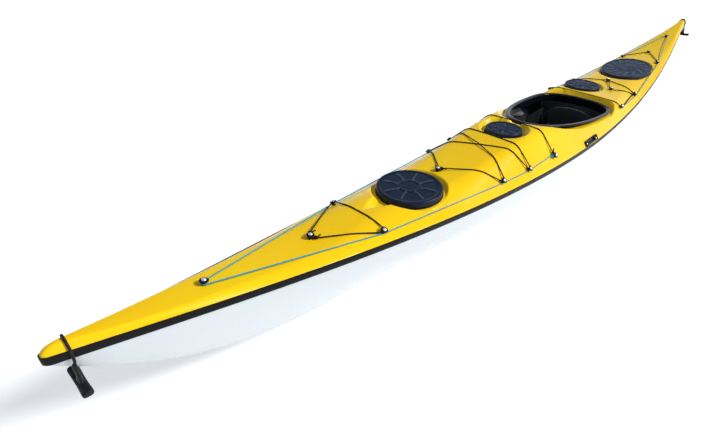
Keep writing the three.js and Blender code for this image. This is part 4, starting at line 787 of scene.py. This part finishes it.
def make_bulkhead(name, x):
    """A glass laminate plate with a resin fillet that rounds it into the shell on both faces."""
    hull = hull_half(x, 22)
    lines = [DeckLine(x + shift) for shift in FILLET_PLACES]
    deck = [(y, min(moulded_height(line, y) for line in lines))
            for y in [lines[2].half * (1 - i / 24) for i in range(25)]]
    rings = []
    for along, inset in ((0, 24), (0, 18), (-4, 10), (-13, 4.6), (BULKHEAD_THICK + 13, 4.6),
                         (BULKHEAD_THICK + 4, 10), (BULKHEAD_THICK, 18), (BULKHEAD_THICK, 24)):
        under = [(max(y, 0), z) for y, z in inset_line(hull, inset)]
        over = [(clamp(y, 0, under[0][0]), z - inset) for y, z in deck]
        half = under[::-1] + [p for p in over if p[0] < under[0][0]]
        half[-1] = (0, half[-1][1])
        rings.append([(x + along, y, z) for y, z in half] + [(x + along, -y, z) for y, z in half[-2:0:-1]])
    least = min(len(ring) for ring in rings)
    rings = [ring if len(ring) == least else resampled(ring, least) for ring in rings]
    lofted(name, rings, [BARE_LAMINATE], [name.replace("_plate", "")], 40)


def resampled(ring, count):
    """The same closed line with this many points, spaced by length from its first."""
    ends = ring + ring[:1]
    run = [0]
    for a, b in zip(ends, ends[1:]):
        run.append(run[-1] + hypot(*(v - u for u, v in zip(a, b))))
    points, k = [], 0
    for i in range(count):
        want = run[-1] * i / count
        while run[k + 1] < want:
            k += 1
        share = (want - run[k]) / ((run[k + 1] - run[k]) or 1)
        points.append(tuple(mix(u, v, share) for u, v in zip(ends[k], ends[k + 1])))
    return points


make_hull()
make_deck()
for bulkhead, place in BULKHEADS.items():
    make_bulkhead(bulkhead + "_bulkhead_plate", place)
make_seam_tape()
make_coaming()
for hatch_name, hatch_sizes in HATCHES.items():
    make_cover(hatch_name, hatch_sizes)
    make_rim(hatch_name, hatch_sizes)
make_pod()


# Deck fittings
def deck_normal(x, y):
    near = [DeckLine(x - 5), DeckLine(x), DeckLine(x + 5)]
    dx = (near[2].height(y) - near[0].height(y)) / 10
    dy = (near[1].height(y + 5) - near[1].height(y - 5)) / 10
    return Vector((-dx, -dy, 1)).normalized()


CENTRE_FITTINGS = {"c1": 2197.5, "c2": 1812, "c3": 1093, "c5": -898.5, "c6": -1735, "ce": -2135.4}
SIDE_FITTINGS = {2: (1587, 37.6), 3: (880.6, 37), 4: (672.6, 33.1), 5: (436, 31.3),
                 6: (-508, 42), 7: (-833.6, 44), 8: (-1542.6, 51.4)}
FITTINGS = {name: (x, 0) for name, x in CENTRE_FITTINGS.items()}
for number, (x, inset) in SIDE_FITTINGS.items():
    FITTINGS[f"p{number}"] = (x, half_beam(x) - inset)
    FITTINGS[f"s{number}"] = (x, inset - half_beam(x))
FITTINGS["px"] = (-730, 84)


def lathed(profile, steps):
    """Rings round an upright axis, from radii and levels."""
    return [[(r * cos(t), r * sin(t), z) for t in turns(steps)] for r, z in profile]


FITTING_SIDES = 24


def make_fitting(name, x, y):
    """A nylon post with a domed cap, held by a stainless screw with a socket."""
    body = [(0.01, -1.5), (8.5, -1.5), (8.5, 1), (7, 2.2), (5.9, 4), (5.7, 11), (7, 12.6), (13.2, 12.9),
            (14, 13.7), (13.9, 14.8), (12.8, 15.9), (10.6, 16.7), (8.4, 17), (7.8, 16.8), (7.5, 16)]
    screw = [(7.3, 16.4), (7.1, 17.6), (6.2, 18.9), (4.6, 19.9), (2.8, 20.3), (2.4, 20.3), (2.3, 18.6)]
    rings = lathed(body + screw + [(0.01, 18.6)], FITTING_SIDES)
    normal = deck_normal(x, y)
    turn = Vector((0, 0, 1)).rotation_difference(normal).to_matrix()
    foot = Vector((x, y, DeckLine(x).height(y)))
    rings = [[foot + turn @ Vector(p) for p in ring] for ring in rings]
    first_screw = (len(body) - 1) * FITTING_SIDES
    lofted(f"fitting_{name}", rings, [BLACK_NYLON, STAINLESS], [f"deck_fitting_{name}"], 40,
           lambda face: int(face >= first_screw and face != (len(rings) - 1) * FITTING_SIDES))


for fitting_name, (along, across) in FITTINGS.items():
    make_fitting(fitting_name, along, across)


# Cords: laid taut over the deck from post to post
LINE_RADIUS, BUNGEE_RADIUS, POST_RADIUS, POST_LEVEL = 2.25, 2.5, 5.9, 2.2
ROUND_POST, OVER_DECK = 0.2, 0.4  # clearances of a cord
POSTS = {}
for fitting_name, (along, across) in FITTINGS.items():
    upright = deck_normal(along, across)
    sideways = (Vector((0, 1, 0)) - upright * upright.y).normalized()
    foot = Vector((along, across, DeckLine(along).height(across)))
    POSTS[fitting_name] = (foot, upright, sideways.cross(upright), sideways)
laid = []


def wrapped(name, before, after, radius, level, inside):
    """The cord's way round a post, between the directions of its neighbours."""
    foot, upright, along, across = POSTS[name]
    a, b = (atan2((p - foot).dot(across), (p - foot).dot(along)) for p in (before, after))
    turn = (b - a + pi) % tau - pi
    side = -1 if turn > 0 else 1
    sweep = pi - abs(turn)
    steps = max(2, round(sweep / 0.25))
    reach = POST_RADIUS + radius + ROUND_POST + 2 * inside
    return [foot + upright * level + (along * cos(angle) + across * sin(angle)) * reach
            for angle in (a + side * (pi / 2 + sweep * i / steps) for i in range(steps + 1))]


def deck_top(x, y, radius):
    """Height of a cord's middle when it lies on the deck."""
    return moulded_height(DeckLine(x), y) + radius / deck_normal(x, y).z + OVER_DECK


def over_cords(x, y, radius):
    """Height of a cord's middle over the cords that already cross this place."""
    height = 0
    for a, b, other in laid:
        ux, uy = b.x - a.x, b.y - a.y
        t = clamp(((x - a.x) * ux + (y - a.y) * uy) / (ux * ux + uy * uy), 0, 1)
        apart = radius + other + GAP
        if hypot(x - a.x - t * ux, y - a.y - t * uy) < apart:
            height = max(height, mix(a.z, b.z, t) + apart)
    return height


def taut(start, end, radius):
    """The least way between two places above the deck and the cords it crosses."""
    steps = max(6, round((end - start).length / 6))
    line = [(0, start.z)]
    for i in range(1, steps):
        x, y = mix(start.x, end.x, i / steps), mix(start.y, end.y, i / steps)
        line.append((i / steps, max(deck_top(x, y, radius), over_cords(x, y, radius))))
    line.append((1, end.z))
    tight = []
    for p in line:
        while len(tight) > 1:
            (t0, z0), (t1, z1) = tight[-2:]
            if (z1 - z0) * (p[0] - t0) > (p[1] - z0) * (t1 - t0):
                break
            tight.pop()
        tight.append(p)
    return [Vector((mix(start.x, end.x, s), mix(start.y, end.y, s), z)) for s, z in tight]


def tube(name, path, radius, sides, material, node):
    """A round cord along a path, narrowed at both ends."""
    path = [Vector(p) for p in path]
    first, last = (path[1] - path[0]).normalized() * radius, (path[-1] - path[-2]).normalized() * radius
    path = [path[0] - first * 0.5, path[0], *path[1:-1], path[-1], path[-1] + last * 0.5]
    rings, side = [], None
    for i, p in enumerate(path):
        ahead = (path[min(i + 1, len(path) - 1)] - path[max(i - 1, 0)]).normalized()
        side = side or ahead.orthogonal()
        side = (side - ahead * side.dot(ahead)).normalized()
        other = ahead.cross(side)
        size = radius * (0.5 if i in (0, len(path) - 1) else 1)
        rings.append([p + (side * cos(angle) + other * sin(angle)) * size for angle in turns(sides)])
    lofted(name, rings, [material], [node], 60)


def knot(name, path, leg, radius, material, node):
    """A cord's end: back beside its own leg, bound to it by two turns, and out past them."""
    ahead = (leg[1] - leg[0]).normalized()
    beside = (path[0] - leg[0]) - ahead * (path[0] - leg[0]).dot(ahead)
    beside.normalize()
    over = ahead.cross(beside)
    over *= 1 if over.z > 0 else -1
    middle = leg[0] + ahead * 17 + beside * radius * 0.9
    tail = [path[0], middle + beside * radius - ahead * 7, middle + beside * radius + ahead * 6,
            middle + beside * radius * 2.6 + ahead * 12 + over,
            middle + beside * radius * 5 + ahead * 18 + over * 3]
    tube(name + "_tail", [lifted(p, radius) for p in tail], radius, 8, material, node)
    binding = [middle + ahead * mix(-2.3, 2.3, i / 26) * radius
               + (beside * cos(i * tau / 13) * 2.5 + over * sin(i * tau / 13) * 1.9) * radius
               for i in range(27)]
    tube(name + "_binding", [lifted(p, radius) for p in binding], radius, 8, material, node)


def lifted(p, radius):
    return Vector((p.x, p.y, max(p.z, deck_top(p.x, p.y, radius))))


def lay_cord(name, radius, material, stops):
    """A cord round its posts. A stop is (post, radius of a cord under it, radius of a cord inside it)."""
    stops = [(*stop, 0, 0)[:3] for stop in stops]
    feet = [POSTS[stop[0]][0] for stop in stops]
    visits = [wrapped(post, feet[i - 1] if i else feet[1],
                      feet[i + 1] if i + 1 < len(feet) else feet[i - 1], radius,
                      POST_LEVEL + radius + (2 * under + GAP if under else 0), inside)
              for i, (post, under, inside) in enumerate(stops)]
    route, last = list(visits[0]), []
    for visit in visits[1:]:
        leg = taut(route[-1], visit[0], radius)
        laid.extend(last)
        last = [(a, b, radius) for a, b in zip(leg, leg[1:])]
        route += leg[1:] + visit[1:]
    laid.extend(last)
    tube(name + "_run", route, radius, 10, material, name)
    for end, path, visit in (("first", route, visits[0]), ("last", route[::-1], visits[-1][::-1])):
        knot(f"{name}_{end}", path, path[len(visit) - 1:], radius, material, name)


LINE, BAND = LINE_RADIUS, BUNGEE_RADIUS
lay_cord("bow_deck_line", LINE, DECK_LINE,
         [("p5",), ("p4",), ("p3",), ("p2",), ("c1",), ("s2",), ("s3",), ("s4",), ("s5",)])
lay_cord("stern_deck_line", LINE, DECK_LINE,
         [("p6",), ("p7", 0, BAND), ("p8",), ("ce",), ("s8",), ("s7",), ("s6",)])
lay_cord("bow_bungee", BAND, BUNGEE, [("c2",), ("p2", LINE), ("s2", LINE), ("c2", BAND)])
lay_cord("foredeck_bungee", BAND, BUNGEE,
         [("c3",), ("s3", LINE), ("p4", LINE), ("s4", LINE), ("p3", LINE), ("c3", BAND)])
lay_cord("foredeck_cross_bungee", BAND, BUNGEE, [("s5", LINE), ("p5", LINE)])
lay_cord("aft_bungee", BAND, BUNGEE, [("s7", LINE), ("c5",), ("p7",), ("px",), ("c5", BAND)])
lay_cord("day_hatch_bungee", BAND, BUNGEE, [("p7", BAND), ("p6", LINE), ("s6", LINE)])
lay_cord("stern_bungee", BAND, BUNGEE, [("p8", LINE), ("c6",), ("s8", LINE)])


# Carrying toggles
TOGGLE_X, CORD_RADIUS = 2541, 3.5
TOGGLE_SIDE, TOGGLE_DROP, TOGGLE_LEAN, KNOT_DROP = 9, 30, 7, 27
STERN_STEM_SHARE = 0.52  # above its pivot the stern stem is short, so it clears the hull when it swings out


def toggle_pivot(end):
    """Where a toggle hangs from its cord, on the port side."""
    x = end * TOGGLE_X
    return Vector((x + end * TOGGLE_LEAN, half_beam(x) + TOGGLE_SIDE,
                   seam_height(x) - TOGGLE_DROP - 2 * CORD_RADIUS - GAP))


def make_toggle(name, end):
    """A square-ended grip bar across the boat, under a flat stem that spreads into it."""
    pivot = toggle_pivot(end)
    rings = []
    for i in range(49):
        along = i / 24 - 1
        size = curve_through([(-1, 0.62), (-0.985, 0.82), (-0.94, 0.95), (-0.85, 1), (-0.4, 0.95), (0, 0.92),
                              (0.4, 0.95), (0.85, 1), (0.94, 0.95), (0.985, 0.82), (1, 0.62)], along)
        ring = []
        for t in turns(32):
            x, z = signed_power(cos(t), 0.7), signed_power(sin(t), 0.7)
            groove = 0.05 * soft(abs(z), 0.6, 0.9) * (1 - soft(abs(along), 0.7, 0.8))
            level = 5 * along**2 - 46 + (size - groove) * 9.5 * z
            ring.append(pivot + Vector((end * 3 + size * 13 * x, along * 54, level)))
        rings.append(ring)
    lofted(name + "_toggle_bar", rings, [TOGGLE_RUBBER], [name + "_toggle_handle"], 50)
    stem = [(0.3, 0.3, -44), (8, 21, -42), (7.2, 18, -37), (6, 13, -30), (5.2, 9.6, -22), (5, 8, -10),
            (5.6, 7.6, -4), (6, 7, 0), (5.6, 6.2, 6), (5, 5.4, 12), (4.4, 4.6, 14), (3.6, 3.6, 14.4)]
    reach = 1 if end > 0 else STERN_STEM_SHARE
    rings = [[pivot + Vector((a * cos(t) - end * 3 * z / 46, b * sin(t), z * reach if z > 0 else z))
              for t in turns(28)] for a, b, z in stem]
    lofted(name + "_toggle_stem", rings, [TOGGLE_RUBBER], [name + "_toggle_handle"], 50)
    x = end * TOGGLE_X
    line, half, seam = DeckLine(x), half_beam(x), seam_height(x)
    shape = [(y, line.height(y)) for y in [half * (1 - i / 20) for i in range(41)]]
    shape += [(side * (half + TAPE_OUT), seam + up)
              for side in (1, -1) for up in (TAPE_HALF, -TAPE_HALF)]
    over = []
    for i in range(25):
        c, s = -cos(i * pi / 24), sin(i * pi / 24)
        y, z = max(shape, key=lambda p: p[0] * c + p[1] * s)
        over.append((x, y + (CORD_RADIUS + OVER_DECK) * c, z + (CORD_RADIUS + OVER_DECK) * s))
    low = seam - KNOT_DROP
    side = half + TAPE_OUT + CORD_RADIUS + OVER_DECK
    start = [(x, half * k, low) for k in (0.4, -0.6, -1)]
    start += [(x, -half - 4 - 4 * sin(k), low + 6 - 6 * cos(k)) for k in (0.5, 1.0, 1.5)]
    stop = pivot + Vector((0, 0, 7.3 * reach))
    lean = [tuple(Vector((x, side, seam - TAPE_HALF)).lerp(stop, k)) for k in (0.35, 0.7)]
    route = [*start, *over, *lean, tuple(stop)]
    tube(name + "_toggle_loop", route, CORD_RADIUS, 12, BUNGEE, name + "_toggle_cord")


make_toggle("bow", 1)
make_toggle("stern", -1)


# Skeg slider on the port side of the deck. Its own first axis points to the stern.
SLIDER_X, KNOB_PLACE, FRONT_BLOCK = 29, 37, -68


def slider_frame():
    """The slider's place on the slope of the deck, a little above the seam tape."""
    x = SLIDER_X
    line = DeckLine(x)
    low, y = line.seam + TAPE_HEIGHT / 2 + 3, line.half
    while line.height(y) < low:
        y -= GAP
    up_slope, out = Vector((0, -1, line.steep)).normalized(), Vector((0, line.steep, 1)).normalized()
    middle = Vector((x, y, line.height(y))) + up_slope * 16
    placed = Matrix((Vector((-1, 0, 0)), up_slope, out)).transposed().to_4x4()
    placed.translation = middle
    return placed


CORNER_STEPS = 12


def round_box(half_x, half_y, corner, level):
    """A flat outline with round corners, at a level."""
    corners = [(half_x - corner, half_y - corner, 0), (corner - half_x, half_y - corner, 1),
               (corner - half_x, corner - half_y, 2), (half_x - corner, corner - half_y, 3)]
    return [(cx + corner * cos((quarter + i / CORNER_STEPS) * pi / 2),
             cy + corner * sin((quarter + i / CORNER_STEPS) * pi / 2), level)
            for cx, cy, quarter in corners for i in range(CORNER_STEPS + 1)]


def make_slider():
    """The skeg slider: a track with a slot, a raised block at each end, and a grip."""
    placed = slider_frame()
    outlines = [(74, 16, 6, -7), (74, 16, 6, 4.6), (73.4, 15.4, 6, 6.2), (72, 14, 5, 7), (64, 7, 5, 7),
                (63, 6, 5, 6.4), (63, 6, 5, 3)]
    rings = [[placed @ Vector(p) for p in round_box(*outline)] for outline in outlines]
    lofted("slider_track", rings, [BLACK_NYLON], ["skeg_slider_housing"], 45)
    knob = [(12, 5.4, 2, 3.3), (12, 5.4, 2, 7.4), (12.6, 9.4, 3, 7.6), (13, 9.8, 3, 8.6),
            (11.4, 8.4, 3, 13), (9, 6.6, 3, 15), (6, 4.4, 2, 15.6)]
    placed_knob = placed @ Matrix.Translation((KNOB_PLACE, 0, 0))
    rings = [[placed_knob @ Vector(p) for p in round_box(*outline)] for outline in knob]
    lofted("slider_grip", rings, [BLACK_NYLON], ["skeg_slider_knob"], 45)
    # the front block stops short of the grip pushed all the way forward
    for name, middle, half in (("front", FRONT_BLOCK, 5.4), ("back", 66, 8)):
        raised = [(half, 15.4, 3, 4.6), (half, 15.4, 3, 8.4), (half - 1.4, 14, 3, 10)]
        rings = [[placed @ Vector((middle + px, py, pz)) for px, py, pz in round_box(*outline)]
                 for outline in raised]
        lofted("slider_end_" + name, rings, [BLACK_NYLON], ["skeg_slider_housing"], 45)
    for name, node, along, level in (("end", "skeg_slider_housing", FRONT_BLOCK, 9),
                                     ("grip", "skeg_slider_knob", KNOB_PLACE, 14.6)):
        head = [(0.01, level), (3.9, level), (3.9, level + 1.2), (3, level + 2), (0.01, level + 2.3)]
        rings = [[placed @ Vector((px + along, py, pz)) for px, py, pz in ring] for ring in lathed(head, 20)]
        lofted(f"slider_{name}_screw", rings, [STAINLESS], [node], 45)


make_slider()


# Seat and backband
SEAT_BACK, SEAT_FRONT, SEAT_HALF_WIDTH, SEAT_THICK = -350, 40, 175, 4
HIP_MIDDLE, HIP_SIDE, HIP_LEVEL, HIP_HALF_LONG, HIP_HALF_HIGH, HIP_EASE = -220, 170, 131, 110, 74, 1.5
EAR_MIDDLE, EAR_SIDE, EAR_LEVEL, EAR_THICK = -354, 148.4, 106, 5.8
BAND_BACK, BAND_HALF_WIDTH, BAND_LEVEL = -392, 147.5, 150


def make_seat():
    """A moulded pan on a foot, with a hip plate and an ear for the backband on each side."""
    rows = []
    for r in range(41):
        across = 2 * r / 40 - 1
        line = []
        for c in range(31):
            along = c / 30
            dish = 7 * (1 - across**2) * sin(pi * min(1, along * 1.15)) ** 2
            wave = 6 * cos(across * pi * 2) * soft(along, 0.55, 0.9) * 0.5
            z = 26 + 62 * across**4 + 26 * along**2 - dish + wave
            line.append((mix(SEAT_BACK, SEAT_FRONT, along), across * SEAT_HALF_WIDTH, z))
        rows.append(line + [(x, y, z - SEAT_THICK) for x, y, z in reversed(line)])
    lofted("seat_pan", rows, [SEAT_ABS], ["seat"], 45)
    for side, name in ((1, "port"), (-1, "starboard")):
        cheek = []
        for out, grow in ((0, 0.9), (0.8, 1), (4.2, 1), (5, 0.9)):
            outline = round_box(HIP_HALF_LONG - HIP_EASE + HIP_EASE * grow, HIP_HALF_HIGH, 22, 0)
            cheek.append([(HIP_MIDDLE + px, side * (HIP_SIDE + out), HIP_LEVEL + py)
                          for px, py, _ in outline])
        lofted(name + "_hip_plate", cheek, [SEAT_ABS], ["seat"], 45)
        ear = [[(EAR_MIDDLE + px, side * (EAR_SIDE + t), EAR_LEVEL + py)
                for px, py, _ in round_box(35, 66, 14, 0)] for t in (0, EAR_THICK)]
        lofted(name + "_band_ear", ear, [SEAT_ABS], ["seat"], 45)
    lofted("seat_foot", [[(-165 + px, py, z) for px, py, _ in round_box(165, 26, 6, 0)] for z in (4.3, 23)],
           [SEAT_ABS], ["seat"], 45)


def make_backband():
    """A foam pad in a sewn cover: crowned panels, sunk seams and a piped edge."""
    rings = []
    for i in range(61):
        s = 2 * i / 60 - 1
        end = sqrt(max(1 - s**8, 0.12))
        seam = min(1, min(abs(s - k) for k in (-0.62, -0.2, 0.2, 0.62)) / 0.05)
        high = 72 * (1 - 0.22 * s**2) * end
        thick = 17 * (1 - 0.35 * s**2) * end * (0.74 + 0.26 * sqrt(seam))
        ring = []
        for k in range(36):
            c, v = cos(tau * k / 36), sin(tau * k / 36)
            x = thick * signed_power(c, 0.8)
            pipe = 1.6 * max(0, 1 - abs(c) / 0.2)
            z = (high + pipe) * signed_power(v, 0.8)
            ring.append((BAND_BACK + 38 * s**2 + x, s * BAND_HALF_WIDTH, BAND_LEVEL + z))
        rings.append(ring)
    lofted("backband_pad", rings, [FOAM_COVER], ["backband"], 60)


make_seat()
make_backband()


# CAD pieces whose shape is right get their finish
FINISHES = {
    "skeg_box": BARE_LAMINATE, "skeg_blade": ALLOY, "skeg_cable_tube": GREY_NYLON,
    "port_foot_rail": ALLOY, "starboard_foot_rail": ALLOY,
    "port_foot_pedal": BLACK_NYLON, "starboard_foot_pedal": BLACK_NYLON,
}
for node, material in FINISHES.items():
    mesh = frame["nodes"][node].data
    mesh.materials.clear()
    mesh.materials.append(material)
    if material is GREY_NYLON:
        mesh.polygons.foreach_set("use_smooth", [True] * len(mesh.polygons))


# Floor and soft studio light
FLOOR_HALF, FLOOR_LEVEL = 40, -0.001
FLOOR_LIFT = 0.45  # how far the seen floor is lifted to white
WORLD_LIGHT = 0.6  # strength of the world on matt surfaces, where 1 is what is seen
# Each lamp as the way toward it, its strength and how wide it looks in degrees
LAMPS = [("key", (-0.5, 0.62, 0.6), 3.1, 14), ("overhead", (0.3, 0.1, 1), 0.45, 60)]


def make_studio():
    """A matt floor that keeps the shadow, a pale world and two soft lamps."""
    material, tree, where = start_material("pale_studio_floor")
    pale = tinted(tree, blotches(tree, where, 900, 2), "#eff0f0", "#ebecec", 0, 1)
    shader = add_node(tree, "ShaderNodeBsdfPrincipled",
                      values={"Roughness": 0.95, "Specular IOR Level": 0.1}, links={"Base Color": pale})
    path = add_node(tree, "ShaderNodeLightPath")
    seen = path.outputs["Is Camera Ray"]
    for ray in ("Is Glossy Ray", "Is Transmission Ray"):
        seen = add_node(tree, "ShaderNodeMath", {"operation": "MAXIMUM"},
                        links={0: seen, 1: path.outputs[ray]}).outputs[0]
    lift = add_node(tree, "ShaderNodeMath", {"operation": "MULTIPLY"}, {1: FLOOR_LIFT}, {0: seen}).outputs[0]
    glow = add_node(tree, "ShaderNodeEmission", links={"Strength": lift})
    both = add_node(tree, "ShaderNodeAddShader", links={0: shader.outputs[0], 1: glow.outputs[0]})
    add_node(tree, "ShaderNodeOutputMaterial", links={"Surface": both.outputs[0]})
    mesh = bpy.data.meshes.new("floor")
    corners = [(x * FLOOR_HALF, y * FLOOR_HALF, FLOOR_LEVEL)
               for x, y in ((-1, -1), (1, -1), (1, 1), (-1, 1))]
    mesh.from_pydata(corners, [], [(0, 1, 2, 3)])
    mesh.materials.append(material)
    floor = bpy.data.objects.new("floor", mesh)
    bpy.context.scene.collection.objects.link(floor)
    world = bpy.data.worlds.new("studio")
    world.use_nodes = True
    bpy.context.scene.world = world
    tree = world.node_tree
    tree.nodes.clear()
    way = add_node(tree, "ShaderNodeTexCoord").outputs["Generated"]
    rise = add_node(tree, "ShaderNodeSeparateXYZ", links={"Vector": way}).outputs["Z"]
    wall_to_ceiling = tinted(tree, rise, "#ffffff", "#6b7d92", 0.10, 0.42)
    path = add_node(tree, "ShaderNodeLightPath")
    glow = add_node(tree, "ShaderNodeMapRange",
                    values={"From Min": 0, "From Max": 1, "To Min": 1, "To Max": WORLD_LIGHT},
                    links={"Value": path.outputs["Is Diffuse Ray"]}).outputs[0]
    light = add_node(tree, "ShaderNodeBackground", links={"Color": wall_to_ceiling, "Strength": glow})
    add_node(tree, "ShaderNodeOutputWorld", links={"Surface": light.outputs[0]})
    for name, toward, strength, spread in LAMPS:
        lamp = bpy.data.lights.new(name, "SUN")
        lamp.energy, lamp.angle = strength, radians(spread)
        obj = bpy.data.objects.new(name, lamp)
        bpy.context.scene.collection.objects.link(obj)
        obj.rotation_euler = Vector(toward).to_track_quat("Z", "Y").to_euler()


make_studio()
bpy.context.scene.view_settings.view_transform = "Standard"
